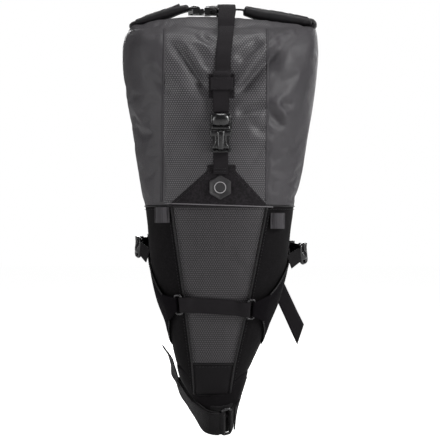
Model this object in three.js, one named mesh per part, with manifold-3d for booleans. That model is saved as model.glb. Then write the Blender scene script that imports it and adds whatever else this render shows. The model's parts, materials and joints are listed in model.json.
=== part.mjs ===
// Bikepacking saddle bag: a tapered, roll-top seat pack sewn from coated fabric panels over a
// stiffened nose, with two saddle-rail straps and one hook-and-loop seatpost strap.
// +Z runs from the nose to the roll closure. The front (-Y) is the outward face with the
// compression strap, the back (+Y) lies under the saddle, and right is +X. The origin is the
// centre of the seatpost pad on the nose. Millimetres.
import * as THREE from "three";
import { mergeVertices } from "three/addons/utils/BufferGeometryUtils.js";
import Module from "manifold-3d";

const wasm = await Module();
wasm.setup();

// ---------------------------------------------------------------- driving dimensions
const WALL = 1.6; // coated fabric with its lining and seam allowance
const WEB_WIDTH = 20;
const WEB_THICKNESS = 1.4;
const TAIL_WIDTH = 19.4; // compression strap tail and buckle tab
const SIDE_WEB_WIDTH = 19; // wing tabs and saddle strap tails
const NOSE_Z = 5; // narrow end of the bag's surface
const PANEL_START_Z = 5.4; // lower edge of the sewn panels
const NOSE_SEAM_Z = 47.1; // nose panel meets front panel
const SEAM_Z = 256; // lower panels meet the upper body
const SEAM_GAP = 0.3; // from a seam line to the edge of each panel

// z, half width, centre x, front y, back y, squareness of the section
const PROFILE = [
  [NOSE_Z, 26.0, 0.4, -28, 26, 2.8],
  [11, 30.4, 0.7, -31, 27.5, 2.8],
  [20, 36.6, 1.2, -35, 29, 2.75],
  [42, 47.6, 2.3, -42, 32, 2.7],
  [74, 59.6, 6.0, -50, 35, 2.6],
  [106, 70.0, 7.7, -58, 38, 2.6],
  [137, 80.5, 8.1, -65, 41, 2.6],
  [180, 90.0, 9.2, -74, 45, 2.6],
  [232, 95.2, 9.7, -83, 50, 2.5],
  [275, 102.3, 10.1, -90, 54, 2.4],
  [338, 112.9, 10.5, -98, 60, 2.35],
  [401, 123.4, 10.5, -103, 65, 2.35],
  [440, 128.6, 10.5, -102, 65, 2.4],
  [462, 129.4, 10.5, -96, 60, 2.5],
  [478, 129.0, 10.5, -84, 51, 2.6],
  [488, 127.4, 10.8, -66, 38, 2.8],
  [495, 124.0, 11.2, -45, 24, 3.0],
];

// Centre front panel: z, half width, centre x
const FRONT_PANEL = [
  [NOSE_Z, 22.5, 0],
  [47, 27.7, 1.8],
  [132, 42.2, 6.2],
  [SEAM_Z, 62.5, 9.6],
];

const SIDES = { left: -1, right: 1 }; // sign of x
const FRONT = -1; // sign of the section angle
const BACK = 1;

const MATERIALS = {
  grey_fabric: { color: 0x46434a, roughness: 0.62 },
  black_fabric: { color: 0x151316, roughness: 0.7 },
  hex_panel: { color: 0x3e3b3f, roughness: 0.65 },
  webbing: { color: 0x262327, roughness: 0.8 },
  suede: { color: 0x211f22, roughness: 0.95 },
  plastic: { color: 0x17151a, roughness: 0.35 },
  light_mark: { color: 0xa8a6a8, roughness: 0.5 },
  foam: { color: 0x18171a, roughness: 0.95 },
  board: { color: 0x2b2b2d, roughness: 0.6 },
  liner: { color: 0x8d9094, roughness: 0.5 },
};

const group = new THREE.Group();

function addMesh(name, geometry, material, parent = group) {
  const finish = new THREE.MeshStandardMaterial({ ...MATERIALS[material], metalness: 0 });
  const mesh = new THREE.Mesh(geometry, finish);
  mesh.name = name;
  parent.add(mesh);
}

// ---------------------------------------------------------------- vectors and tables
const vec = (x, y, z) => new THREE.Vector3(x, y, z);
const X_AXIS = vec(1, 0, 0);
const Y_AXIS = vec(0, 1, 0);
const Z_AXIS = vec(0, 0, 1);
const { clamp } = THREE.MathUtils;
const radians = (degrees) => (degrees * Math.PI) / 180;

// A copy of a point moved by [axis, amount] pairs.
const shifted = (origin, ...moves) =>
  moves.reduce((point, [axis, amount]) => point.addScaledVector(axis, amount), origin.clone());

// A row of a table whose first column is z, interpolated linearly.
function rowAt(table, z) {
  let i = 0;
  while (i < table.length - 2 && z > table[i + 1][0]) i++;
  const [below, above] = [table[i], table[i + 1]];
  const t = clamp((z - below[0]) / (above[0] - below[0]), 0, 1);
  return below.map((value, k) => value + (above[k] - value) * t);
}

// ---------------------------------------------------------------- the bag's outer surface
function profileAt(z) {
  const [, halfWidth, centreX, frontY, backY, squareness] = rowAt(PROFILE, z);
  return { halfWidth, centreX, frontY, backY, squareness };
}

// A surface point. The angle phi is -90 degrees at the front, 0 at +X and 90 degrees at the back.
function onBag(phi, z) {
  const { halfWidth, centreX, frontY, backY, squareness } = profileAt(z);
  const bulge = (value) => Math.sign(value) * Math.abs(value) ** (2 / squareness);
  return vec(
    centreX + halfWidth * bulge(Math.cos(phi)),
    (frontY + backY) / 2 + ((backY - frontY) / 2) * bulge(Math.sin(phi)),
    z,
  );
}

// Outward normal, from chords round the section and along the bag.
function bagNormal(phi, z) {
  const phiStep = 0.02;
  const zStep = 3;
  const maxZ = 494;
  const around = onBag(phi + phiStep, z).sub(onBag(phi - phiStep, z));
  const along = onBag(phi, Math.min(maxZ, z + zStep));
  along.sub(onBag(phi, Math.max(NOSE_Z, z - zStep)));
  return around.cross(along).normalize();
}

// The angle at which the section reaches x, on the front or the back.
function phiAtX(x, z, face) {
  const { halfWidth, centreX, squareness } = profileAt(z);
  const reach = clamp((x - centreX) / halfWidth, -0.9999, 0.9999);
  return face * Math.acos(Math.sign(reach) * Math.abs(reach) ** (squareness / 2));
}

// A point lifted off the surface, with its normal; flatAxis drops that component of the normal.
function skin(phi, z, lift, flatAxis) {
  const normal = bagNormal(phi, z);
  if (flatAxis) {
    normal[flatAxis] = 0;
    normal.normalize();
  }
  return { point: onBag(phi, z).addScaledVector(normal, lift), normal };
}
const frontSkin = (x, z, lift) => skin(phiAtX(x, z, FRONT), z, lift);

// Frame of a part that sits flat on the front: across is +X, along runs up the face.
function frontFrame(x, z, lift) {
  const { point: origin, normal: out } = frontSkin(x, z, lift);
  out.x = 0;
  out.normalize();
  return { origin, across: X_AXIS, along: out.clone().cross(X_AXIS).normalize(), out };
}

// A group whose local x, y, z are the frame's across, along and out.
function framedGroup({ origin, across, along, out }) {
  const framed = new THREE.Group();
  framed.quaternion.setFromRotationMatrix(new THREE.Matrix4().makeBasis(across, along, out));
  framed.position.copy(origin);
  group.add(framed);
  return framed;
}

// ---------------------------------------------------------------- closed meshes
// Turns a closed mesh the right way out if its signed volume is negative.
function orient(geometry) {
  const position = geometry.attributes.position;
  const index = Array.from(geometry.index.array);
  const corner = (k) => vec(0, 0, 0).fromBufferAttribute(position, index[k]);
  let volume = 0;
  for (let k = 0; k < index.length; k += 3)
    volume += corner(k).dot(corner(k + 1).cross(corner(k + 2)));
  if (volume < 0) {
    for (let k = 0; k < index.length; k += 3)
      [index[k + 1], index[k + 2]] = [index[k + 2], index[k + 1]];
    geometry.setIndex(index);
  }
  return geometry;
}
const closedMesh = (points, index) =>
  orient(new THREE.BufferGeometry().setFromPoints(points).setIndex(index));

const pushQuad = (index, a, b, c, d) => index.push(a, b, c, a, c, d);

// Rows of { point, normal } cells from a function of row and column.
const grid = (rows, columns, cellAt) =>
  Array.from({ length: rows }, (_, i) => Array.from({ length: columns }, (_, j) => cellAt(i, j)));

// A sheet standing on a grid of cells and raised along their normals.
// closed joins the last row to the first, as for a tube or a loop.
function sheet(cells, thickness, closed = false) {
  const rows = cells.length;
  const columns = cells[0].length;
  const points = [];
  for (const lift of [0, thickness])
    for (const { point, normal } of cells.flat()) points.push(shifted(point, [normal, lift]));
  const low = (i, j) => (i % rows) * columns + j;
  const top = (i, j) => rows * columns + low(i, j);
  const index = [];
  const spans = closed ? rows : rows - 1;
  const last = columns - 1;
  for (let i = 0; i < spans; i++)
    for (let j = 0; j < last; j++) {
      pushQuad(index, top(i, j), top(i + 1, j), top(i + 1, j + 1), top(i, j + 1));
      pushQuad(index, low(i, j), low(i, j + 1), low(i + 1, j + 1), low(i + 1, j));
    }
  for (let i = 0; i < spans; i++) {
    pushQuad(index, low(i, 0), low(i + 1, 0), top(i + 1, 0), top(i, 0));
    pushQuad(index, top(i, last), top(i + 1, last), low(i + 1, last), low(i, last));
  }
  if (!closed)
    for (let j = 0; j < last; j++) {
      const end = rows - 1;
      pushQuad(index, top(0, j), top(0, j + 1), low(0, j + 1), low(0, j));
      pushQuad(index, low(end, j), low(end, j + 1), top(end, j + 1), top(end, j));
    }
  return closedMesh(points, index);
}

// The two edges of a strap. Each station has a centre point, the direction across the strap
// and a normal; it may carry its own width.
const strapCells = (path, strapWidth) =>
  path.map(({ point, across, normal, width = strapWidth }) => {
    const half = across.clone().normalize().multiplyScalar(width / 2);
    const unit = normal.clone().normalize();
    return [
      { point: point.clone().sub(half), normal: unit },
      { point: point.clone().add(half), normal: unit },
    ];
  });
const strap = (path, width, thickness, closed = false) =>
  sheet(strapCells(path, width), thickness, closed);

// Strap stations from points (u, v) in a plane; normals stand to the left of travel,
// or to the right with flip -1.
function planePath(points, { origin, u, v, across }, { flip = 1, closed = false } = {}) {
  const count = points.length;
  return points.map(([pointU, pointV], i) => {
    const before = points[closed ? (i + count - 1) % count : Math.max(0, i - 1)];
    const after = points[closed ? (i + 1) % count : Math.min(count - 1, i + 1)];
    const du = after[0] - before[0];
    const dv = after[1] - before[1];
    const length = Math.hypot(du, dv);
    return {
      point: shifted(origin, [u, pointU], [v, pointV]),
      across,
      normal: shifted(vec(0, 0, 0), [u, (-dv / length) * flip], [v, (du / length) * flip]),
    };
  });
}

const frontStation = (x, z, lift) => {
  const { origin, across, out } = frontFrame(x, z, lift);
  return { point: origin, across, normal: out };
};

// Triangles between successive rings of points; closed joins the last ring to the first.
function tubeIndex(rings, sides, closed = false) {
  const index = [];
  const at = (ring, side) => (ring % rings) * sides + (side % sides);
  for (let i = 0; i < (closed ? rings : rings - 1); i++)
    for (let k = 0; k < sides; k++)
      pushQuad(index, at(i, k), at(i, k + 1), at(i + 1, k + 1), at(i + 1, k));
  return index;
}

// A round cord along a smooth curve.
function cord(points, radius) {
  const sides = 6;
  const section = Array.from({ length: sides }, (_, k) => {
    const angle = (2 * Math.PI * k) / sides;
    return new THREE.Vector2(radius * Math.cos(angle), radius * Math.sin(angle));
  });
  const shape = new THREE.Shape(section);
  shape.closePath();
  return new THREE.ExtrudeGeometry(shape, {
    steps: 20,
    extrudePath: new THREE.CatmullRomCurve3(points),
    bevelEnabled: false,
  });
}

// A rectangular loop of round wire with rounded corners; long and short are outside sizes.
function wireLoop(origin, longAxis, shortAxis, { long, short, radius }) {
  const sides = 8;
  const cornerRadius = 3.2; // of the wire's centre line
  const cornerSteps = 3;
  const cornerU = long / 2 - radius - cornerRadius;
  const cornerV = short / 2 - radius - cornerRadius;
  const sideAxis = longAxis.clone().cross(shortAxis);
  const points = [];
  for (const [signU, signV, start] of [[1, 1, 0], [-1, 1, 90], [-1, -1, 180], [1, -1, 270]])
    for (let i = 0; i <= cornerSteps; i++) {
      const angle = radians(start + (i * 90) / cornerSteps);
      for (let k = 0; k < sides; k++) {
        const turn = (2 * Math.PI * k) / sides;
        const reach = cornerRadius + radius * Math.cos(turn);
        points.push(
          shifted(
            origin,
            [longAxis, signU * cornerU + reach * Math.cos(angle)],
            [shortAxis, signV * cornerV + reach * Math.sin(angle)],
            [sideAxis, radius * Math.sin(turn)],
          ),
        );
      }
    }
  return closedMesh(points, tubeIndex(points.length / sides, sides, true));
}

// A flat plate with an (x, y) outline between two heights.
function plate(outline, bottom, top) {
  const shape = new THREE.Shape(outline.map(([x, y]) => new THREE.Vector2(x, y)));
  const extrusion = { depth: top - bottom, bevelEnabled: false };
  return new THREE.ExtrudeGeometry(shape, extrusion).translate(0, 0, bottom);
}
const box = (size, centre) => new THREE.BoxGeometry(...size).translate(...centre);

// ---------------------------------------------------------------- booleans
function solidOf(geometry) {
  let bare = geometry.index ? geometry.toNonIndexed() : geometry.clone();
  for (const key of Object.keys(bare.attributes))
    if (key !== "position") bare.deleteAttribute(key);
  bare = mergeVertices(bare, 1e-4);
  return new wasm.Manifold(
    new wasm.Mesh({
      numProp: 3,
      vertProperties: bare.attributes.position.array,
      triVerts: new Uint32Array(bare.index.array),
    }),
  );
}
function geometryFrom(solid) {
  const { vertProperties, triVerts } = solid.getMesh();
  const geometry = new THREE.BufferGeometry();
  geometry.setAttribute("position", new THREE.Float32BufferAttribute(vertProperties, 3));
  return geometry.setIndex(Array.from(triVerts));
}
const join = (first, ...others) =>
  geometryFrom(others.reduce((solid, other) => solid.add(solidOf(other)), solidOf(first)));
const cut = (body, ...tools) =>
  geometryFrom(tools.reduce((solid, tool) => solid.subtract(solidOf(tool)), solidOf(body)));

// ---------------------------------------------------------------- shell panels
function frontEdgeX(z, side) {
  const [, halfWidth, centreX] = rowAt(FRONT_PANEL, z);
  return centreX + side * halfWidth;
}
function backEdgeX(z, side) {
  const { centreX, halfWidth } = profileAt(z);
  return centreX + side * 0.62 * halfWidth;
}
const frontLeft = (z) => phiAtX(frontEdgeX(z, SIDES.left), z, FRONT);
const frontRight = (z) => phiAtX(frontEdgeX(z, SIDES.right), z, FRONT);
const backLeft = (z) => phiAtX(backEdgeX(z, SIDES.left), z, BACK);
const backRight = (z) => phiAtX(backEdgeX(z, SIDES.right), z, BACK);
const frontLeftWrapped = (z) => 2 * Math.PI + frontLeft(z);

const PANEL_TOP_Z = SEAM_Z - SEAM_GAP;
// name, material, start and end angle, start and end z, cells around and along
const PANELS = [
  ["nose_panel", "black_fabric", frontLeft, frontRight,
    PANEL_START_Z, NOSE_SEAM_Z - SEAM_GAP, 6, 3],
  ["front_panel", "hex_panel", frontLeft, frontRight,
    NOSE_SEAM_Z + SEAM_GAP, PANEL_TOP_Z, 8, 10],
  ["side_panel_right", "black_fabric", frontRight, backRight,
    PANEL_START_Z, PANEL_TOP_Z, 9, 11],
  ["side_panel_left", "black_fabric", backLeft, frontLeftWrapped,
    PANEL_START_Z, PANEL_TOP_Z, 9, 11],
  ["back_panel", "black_fabric", backRight, backLeft,
    PANEL_START_Z, PANEL_TOP_Z, 8, 11],
];

function addPanels() {
  for (const [name, material, startPhi, endPhi, startZ, endZ, around, along] of PANELS) {
    const cells = grid(around + 1, along + 1, (i, j) => {
      const z = startZ + ((endZ - startZ) * j) / along;
      const gap = SEAM_GAP / profileAt(z).halfWidth;
      const start = startPhi(z) + gap;
      const end = endPhi(z) - gap;
      return skin(start + ((end - start) * i) / around, z, -WALL);
    });
    addMesh(name, sheet(cells, WALL), material);
  }
}

// One tube of fabric from the seam to the mouth.
function addUpperBody() {
  const heights = [
    SEAM_Z + SEAM_GAP, 285, 315, 345, 375, 401, 425, 445, 462, 472, 480, 488, 494,
  ];
  const around = 40;
  const cells = grid(around, heights.length, (i, j) =>
    skin((2 * Math.PI * i) / around, heights[j], -WALL, "z"),
  );
  addMesh("upper_body", sheet(cells, WALL, true), "grey_fabric");
}

// Flat plate that closes the narrow end.
function addNoseCap() {
  const around = 36;
  const outline = Array.from({ length: around }, (_, i) => {
    const { x, y } = onBag((2 * Math.PI * i) / around, NOSE_Z);
    return [x, y];
  });
  addMesh("nose_cap", plate(outline, 3.3, 5.1), "black_fabric");
}

// Square foam pad under the nose cap, with rounded corners.
function addSeatpostPad() {
  const half = 20;
  const flat = 16; // half length of each straight edge
  const shape = new THREE.Shape();
  shape.moveTo(-flat, -half);
  shape.lineTo(flat, -half);
  shape.quadraticCurveTo(half, -half, half, -flat);
  shape.lineTo(half, flat);
  shape.quadraticCurveTo(half, half, flat, half);
  shape.lineTo(-flat, half);
  shape.quadraticCurveTo(-half, half, -half, flat);
  shape.lineTo(-half, -flat);
  shape.quadraticCurveTo(-half, -half, -flat, -half);
  const extrusion = { depth: 3, bevelEnabled: false, curveSegments: 4 };
  addMesh("seatpost_pad", new THREE.ExtrudeGeometry(shape, extrusion), "foam");
}

// ---------------------------------------------------------------- inside the bag
// Bent board round the front that keeps the nose stiff.
function addNoseStiffener() {
  const around = 16;
  const along = 7;
  const wrap = 3.4; // radians
  const cells = grid(around + 1, along + 1, (i, j) =>
    skin(-Math.PI / 2 + (i / around - 0.5) * wrap, 10 + (168 * j) / along, -5.6),
  );
  addMesh("nose_stiffener", sheet(cells, 1.5), "board");
}

// Waterproof sack, open at the top: up the outside, over the rim and down the inside.
function addLiner() {
  const around = 24;
  const depth = 7.5; // below the bag's surface
  const thickness = 1.2;
  const heights = [12, 60, 120, 180, 240, 300, 360, 420, 455, 474];
  const ringAt = (z, lift) =>
    Array.from({ length: around }, (_, i) => skin((2 * Math.PI * i) / around, z, lift, "z").point);
  const outer = heights.map((z) => ringAt(z, -depth));
  const inner = heights.map((z) => ringAt(z, -depth - thickness)).reverse();
  for (const point of inner.at(-1)) point.setZ(heights[0] + thickness); // floor
  const rings = [...outer, ...inner];
  const middle = (ring) =>
    ring.reduce((sum, point) => sum.add(point), vec(0, 0, 0)).multiplyScalar(1 / around);
  const points = [...rings.flat(), middle(rings[0]), middle(rings.at(-1))];
  const index = tubeIndex(rings.length, around);
  const outerCentre = rings.length * around;
  const lastRing = outerCentre - around;
  for (let i = 0; i < around; i++) {
    const next = (i + 1) % around;
    index.push(outerCentre, next, i);
    index.push(outerCentre + 1, lastRing + i, lastRing + next);
  }
  addMesh("liner_bag", closedMesh(points, index), "liner");
}

// ---------------------------------------------------------------- trim on the front
// Suede-like trapezium that anchors the compression strap.
function addYoke() {
  const columns = 10;
  const rows = 6;
  const topZ = 309;
  const bottom = { left: -58, right: 73.5 };
  const top = { left: -6, right: 31 };
  const cells = grid(columns + 1, rows + 1, (i, j) => {
    const z = SEAM_Z + 1 + ((topZ - SEAM_Z - 1) * j) / rows;
    // the edges stop closing in at 0.86 of the height
    const taper = Math.min(1, (z - SEAM_Z) / (topZ - SEAM_Z) / 0.86);
    const left = bottom.left + (top.left - bottom.left) * taper;
    const right = bottom.right + (top.right - bottom.right) * taper;
    return frontSkin(left + ((right - left) * i) / columns, z, 1.1);
  });
  addMesh("yoke", sheet(cells, 1.5), "suede");
}

// Hexagonal patch with rounded corners.
function addEmblem() {
  const centreRadius = 12.5; // of the corner centres
  const cornerRadius = 3.2;
  const outline = [];
  for (let corner = 0; corner < 6; corner++) {
    const angle = radians(30 + 60 * corner);
    for (const turn of [-30, 0, 30]) {
      const edge = angle + radians(turn);
      outline.push([
        centreRadius * Math.cos(angle) + cornerRadius * Math.cos(edge),
        centreRadius * Math.sin(angle) + cornerRadius * Math.sin(edge),
      ]);
    }
  }
  const frame = frontFrame(10.8, 280.5, 3.4);
  addMesh("emblem_patch", plate(outline, 0, 1.6), "light_mark", framedGroup(frame));
}

// Piping down both edges of the centre panel.
function addPiping() {
  for (const [side, sign] of Object.entries(SIDES)) {
    const points = [];
    for (let k = 0; k <= 10; k++) {
      const z = 12 + (238 * k) / 10;
      points.push(frontSkin(frontEdgeX(z, sign), z, 2.1).point);
    }
    addMesh(`piping_${side}`, cord(points, 1.2), "black_fabric");
  }
}

// Webbing loops for a tail light, at the top corners of the side panels.
function addLightLoops() {
  const baseLift = 1.7;
  // fraction of the loop's run, lift above the base
  const stations = [
    [0, 0.5], [0.16, 0.5], [0.24, 3.4], [0.38, 5.6], [0.62, 5.6], [0.76, 3.4], [0.84, 0.5], [1, 0.5],
  ];
  // side, start x, end x, z
  for (const [side, startX, endX, z] of [
    ["left", -73.0, -54.6, 244.2],
    ["right", 75.5, 93.5, 236.5],
  ]) {
    const path = stations.map(([t, lift]) => {
      const phi = phiAtX(startX + (endX - startX) * t, z, FRONT);
      return { ...skin(phi, z, lift + baseLift, "z"), across: Z_AXIS };
    });
    addMesh(`light_loop_${side}`, strap(path, 21, 1.2), "grey_fabric");
  }
}

// ---------------------------------------------------------------- rings, bridge strap, wings
const RING = { long: 28.6, short: 11.5, radius: 1.5 };
const RING_LIFT = 7.2; // ring centre line above the panel
const RING_PLACES = { left: { x: -41.5, z: 128 }, right: { x: 49.5, z: 122 } };
const BAR_OFFSET = RING.short / 2 - RING.radius; // long bar from the ring's centre
const FOLD_RADIUS = RING.radius + 0.9; // inside radius of fabric folded round a bar

function ringFrame(side) {
  const { x, z } = RING_PLACES[side];
  const { point: origin, normal: out } = frontSkin(x, z, RING_LIFT);
  const along = shifted(Z_AXIS, [out, -out.z]).normalize();
  return { origin, across: along.clone().cross(out).normalize(), along, out };
}

// Offset from the ring's centre and normal for each step of a fold round a bar:
// across, out, normal across, normal out. It starts beneath and wraps the side towards the centre.
const BAR_FOLD = [-90, -135, 180, 135, 90].map((degrees) => {
  const cos = Math.cos(radians(degrees));
  const sin = Math.sin(radians(degrees));
  return [BAR_OFFSET + FOLD_RADIUS * cos, FOLD_RADIUS * sin, cos, sin];
});

// A strap station in a ring's frame; direction mirrors it across the ring.
const ringStation = (frame, direction, [across, out, normalAcross, normalOut]) => ({
  point: shifted(frame.origin, [frame.across, direction * across], [frame.out, out]),
  across: frame.along,
  normal: shifted(
    vec(0, 0, 0),
    [frame.across, direction * normalAcross],
    [frame.out, normalOut],
  ).normalize(),
});

function addRings() {
  for (const side of Object.keys(SIDES)) {
    const { origin, along, across } = ringFrame(side);
    addMesh(`ring_${side}`, wireLoop(origin, along, across, RING), "plastic");
  }
}

// Strap between the rings: it folds round their inner bars and back under itself.
function addBridgeStrap() {
  const endStations = [
    [BAR_OFFSET + 13, -FOLD_RADIUS - 0.3, 0, -1],
    [BAR_OFFSET + 4, -FOLD_RADIUS, 0, -1],
    ...BAR_FOLD,
    [BAR_OFFSET + 7, FOLD_RADIUS - 1.6, 0.15, 1],
  ];
  const endPath = (side) => {
    const frame = ringFrame(side);
    return endStations.map((station) => ringStation(frame, -SIDES[side], station));
  };
  const { left, right } = RING_PLACES;
  const middle = [0.22, 0.36, 0.5, 0.64, 0.78].map((t) => {
    const x = left.x + (right.x - left.x) * t;
    const z = left.z + (right.z - left.z) * t;
    return { ...frontSkin(x, z, 5.0), across: Z_AXIS };
  });
  const path = [...endPath("left"), ...middle, ...endPath("right").reverse()];
  addMesh("bridge_strap", strap(path, WEB_WIDTH, 1.1), "webbing");
}

// Wings: fabric that folds round each ring's outer bar, then fans out round the side.
function addWings() {
  const columns = 4;
  const foldStations = [
    [BAR_OFFSET + 9, -FOLD_RADIUS + 0.2, 0, -1],
    [BAR_OFFSET + 3.5, -FOLD_RADIUS, 0, -1],
    ...BAR_FOLD,
  ];
  // fraction of the angle from the ring to the bag's side, lower z, upper z, lift
  const fanRows = [
    [0.16, 106, 141, 5.4],
    [0.34, 96, 150, 3.6],
    [0.54, 84, 163, 2.6],
    [0.76, 74, 177, 2.2],
    [1.0, 72, 190, 2.0],
    [1.25, 84, 199, 2.0],
    [1.5, 108, 205, 2.0],
  ];
  for (const [side, sign] of Object.entries(SIDES)) {
    const frame = ringFrame(side);
    const { x, z: ringZ } = RING_PLACES[side];
    const startPhi = phiAtX(x + sign * (BAR_OFFSET + 8), ringZ, FRONT);
    const sidePhi = side === "right" ? 0 : -Math.PI;
    const foldCells = foldStations.map((values) => {
      const { point, across, normal } = ringStation(frame, sign, values);
      return Array.from({ length: columns + 1 }, (_, j) => ({
        point: shifted(point, [across, -WEB_WIDTH / 2 + (WEB_WIDTH * j) / columns]),
        normal,
      }));
    });
    const fanCells = fanRows.map(([fraction, lowZ, highZ, lift]) => {
      const phi = startPhi + (sidePhi - startPhi) * fraction;
      return Array.from({ length: columns + 1 }, (_, j) =>
        skin(phi, lowZ + ((highZ - lowZ) * j) / columns, lift),
      );
    });
    addMesh(`wing_${side}`, sheet([...foldCells, ...fanCells], 1.0), "black_fabric");
  }
}

// ---------------------------------------------------------------- side-release buckles
// Local axes: x across the webbing, y from the female's web end to the male's, z outwards.
const WEB_SLOT_WIDTH = 20.6;

// A symmetrical outline from its right half, listed from the lowest y up.
function mirrored(rightHalf) {
  const leftHalf = rightHalf.map(([x, y]) => [-x, y]).reverse();
  return [leftHalf.at(-1), ...rightHalf, ...leftHalf.slice(0, -1)];
}

function femaleBody() {
  const outline = mirrored([
    [13.4, -25.5], [13.2, -20], [9.0, -13.6], [8.4, -4.2], [14.3, -4.2], [14.3, 3.8],
  ]);
  const cavity = box([23.2, 25, 5.4], [0, -4.2, 0]); // latch space, open at the mouth
  const webSlot = box([WEB_SLOT_WIDTH, 3.6, 12], [0, -21.4, 0]);
  return cut(plate(outline, -4.5, 4.5), cavity, webSlot);
}

function maleBody() {
  const outline = mirrored([[14.3, 4.4], [14.3, 19], [11.2, 25.5]]);
  const webSlots = [9.2, 21.2].map((y) => box([WEB_SLOT_WIDTH, 3.4, 12], [0, y, 0]));
  const raisedBar = box([24, 9.6, 4.4], [0, 15.2, 3.4]);
  const tongue = box([4.0, 16.6, 2.4], [0, -3.6, 0]);
  return join(cut(plate(outline, -3.6, 2.6), ...webSlots), raisedBar, tongue);
}

function latchArm(sign) {
  const outline = [
    [6.0, 4.0], [9.0, 4.0], [9.2, -3.0], [11.1, -6.0], [11.1, -13.0], [7.6, -14.2], [6.2, -8],
  ].map(([x, y]) => [sign * x, y]);
  return plate(sign > 0 ? outline : outline.reverse(), -1.9, 1.9);
}

function addBuckle(prefix, frame) {
  const parent = framedGroup(frame);
  addMesh(`${prefix}_female`, femaleBody(), "plastic", parent);
  addMesh(`${prefix}_male`, maleBody(), "plastic", parent);
  addMesh(`${prefix}_latch_l`, latchArm(-1), "plastic", parent);
  addMesh(`${prefix}_latch_r`, latchArm(1), "plastic", parent);
}

// ---------------------------------------------------------------- compression strap
const BUCKLE_X = 11.6; // the buckle and the lower end of the strap
const STRAP_X = 14.5; // the strap over the roll and down the back

// Short webbing tab from the yoke to the female half.
function addBuckleTab() {
  // z, lift
  const stations = [[300, 3.2], [306, 3.3], [313, 3.0], [320, 1.9], [326.4, 1.4]];
  const path = stations.map(([z, lift]) => frontStation(BUCKLE_X, z, lift));
  addMesh("buckle_tab", strap(path, TAIL_WIDTH, 1.2), "webbing");
}

// Keeper patch and its loop on the upper body.
function addKeeper() {
  const columns = 4;
  const rows = 3;
  const cells = grid(columns + 1, rows + 1, (i, j) =>
    frontSkin(-4.0 + (33.5 * i) / columns, 396.5 + (31 * j) / rows, 0.7),
  );
  addMesh("keeper_patch", sheet(cells, 1.0), "suede");

  const { origin, across, along, out } = frontFrame(12.8, 414, 3.0);
  // across, out
  const loop = [
    [-12.2, 0], [12.2, 0], [12.8, 0.6], [12.8, 6.2],
    [12.2, 6.9], [-12.2, 6.9], [-12.8, 6.2], [-12.8, 0.6],
  ];
  const plane = { origin, u: across, v: out, across: along };
  const path = planePath(loop, plane, { flip: -1, closed: true });
  addMesh("strap_keeper", strap(path, 16, 0.8, true), "webbing");
}

// Front run, folded-back tail, run over the roll, and back run.
function addCompressionStrap() {
  const addRun = (part, path, width = WEB_WIDTH) =>
    addMesh(`compression_strap_${part}`, strap(path, width, WEB_THICKNESS), "webbing");

  const front = [362, 380, 398, 405, 424, 440, 456, 468, 477, 484].map((z) => {
    const drift = clamp((430 - z) / 60, 0, 1); // towards the buckle, going down
    const x = STRAP_X - drift * (STRAP_X - BUCKLE_X);
    return frontStation(x, z, z < 400 ? 2.0 : 3.6);
  });
  addRun("front", front);

  const tailZ = 380;
  const tail = [tailZ, 392, 404, 416, 427].map((z) =>
    frontStation(Math.max(11.0, BUCKLE_X - (z - tailZ) * 0.03), z, 5.7),
  );
  addRun("tail", tail, TAIL_WIDTH);

  // y, z
  const overRoll = [
    [-71, 490], [-60, 503], [-46, 514], [-30, 521.6], [-14, 523.8],
    [2, 523.4], [12, 518.5], [22, 507.5], [30, 498], [35, 490.5],
  ];
  const plane = { origin: vec(STRAP_X, 0, 0), u: Y_AXIS, v: Z_AXIS, across: X_AXIS };
  addRun("top", planePath(overRoll, plane));

  const back = [484, 472, 456, 430, 400, 370, 340, 318].map((z) => ({
    ...skin(phiAtX(STRAP_X, z, BACK), z, 1.8, "x"),
    across: X_AXIS,
  }));
  addRun("back", back);
}

// ---------------------------------------------------------------- roll closure
const ROLL_Y = -8; // centre of the roll
const ROLL_WIDTH = 31; // along y
const ROLL_THICKNESS = 11;
// x, z of the roll's centre line between its ends
const ROLL_MIDDLE = [[-75, 496.4], [-45, 500.8], [-15, 502.8], [15, 502.8], [45, 499], [75, 494]];

// A flattened roll of fabric along stations of x, z and thickness, shrunk at its two ends.
function rollSection(stations, startScale, endScale) {
  const sides = 10;
  const last = stations.length - 1;
  const points = stations.flatMap(([x, z, thickness = ROLL_THICKNESS], i) => {
    const before = stations[Math.max(0, i - 1)];
    const after = stations[Math.min(last, i + 1)];
    const dx = after[0] - before[0];
    const dz = after[1] - before[1];
    const length = Math.hypot(dx, dz);
    const scale = i === 0 ? startScale : i === last ? endScale : 1;
    const bulge = (value) => Math.sign(value) * Math.abs(value) ** 0.75;
    return Array.from({ length: sides }, (_, j) => {
      const angle = (2 * Math.PI * j) / sides + Math.PI / sides;
      const across = (ROLL_WIDTH / 2) * scale * bulge(Math.cos(angle));
      const out = (thickness / 2) * scale * bulge(Math.sin(angle));
      return vec(x - (dz / length) * out, ROLL_Y + across, z + (dx / length) * out);
    });
  });
  const index = tubeIndex(stations.length, sides);
  const end = last * sides;
  for (let j = 1; j < sides - 1; j++) {
    index.push(0, j + 1, j);
    index.push(end, end + j, end + j + 1);
  }
  return closedMesh(points, index);
}

// Strap stations from (x, z) points, with the strap's width along y.
const alongRoll = (points, y, zShift = 0) =>
  planePath(points, { origin: vec(0, y, zShift), u: X_AXIS, v: Z_AXIS, across: Y_AXIS });

// The roll's two ends, folded up and inwards over it: x, z, thickness.
const ROLL_ENDS = {
  left: [
    [-40, 520.4, 8], [-50, 517.6, 9.4], [-62, 514.8, 11],
    [-76, 510.8, 11.4], [-88, 507, 10.6], [-98, 504.4, 8.4],
  ],
  right: [
    [132.5, 504.4, 9], [122, 504.8, 11], [103, 505.8, 14.6],
    [85, 508.4, 14.6], [63, 512.6, 13], [50, 516.6, 8],
  ],
};

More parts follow.
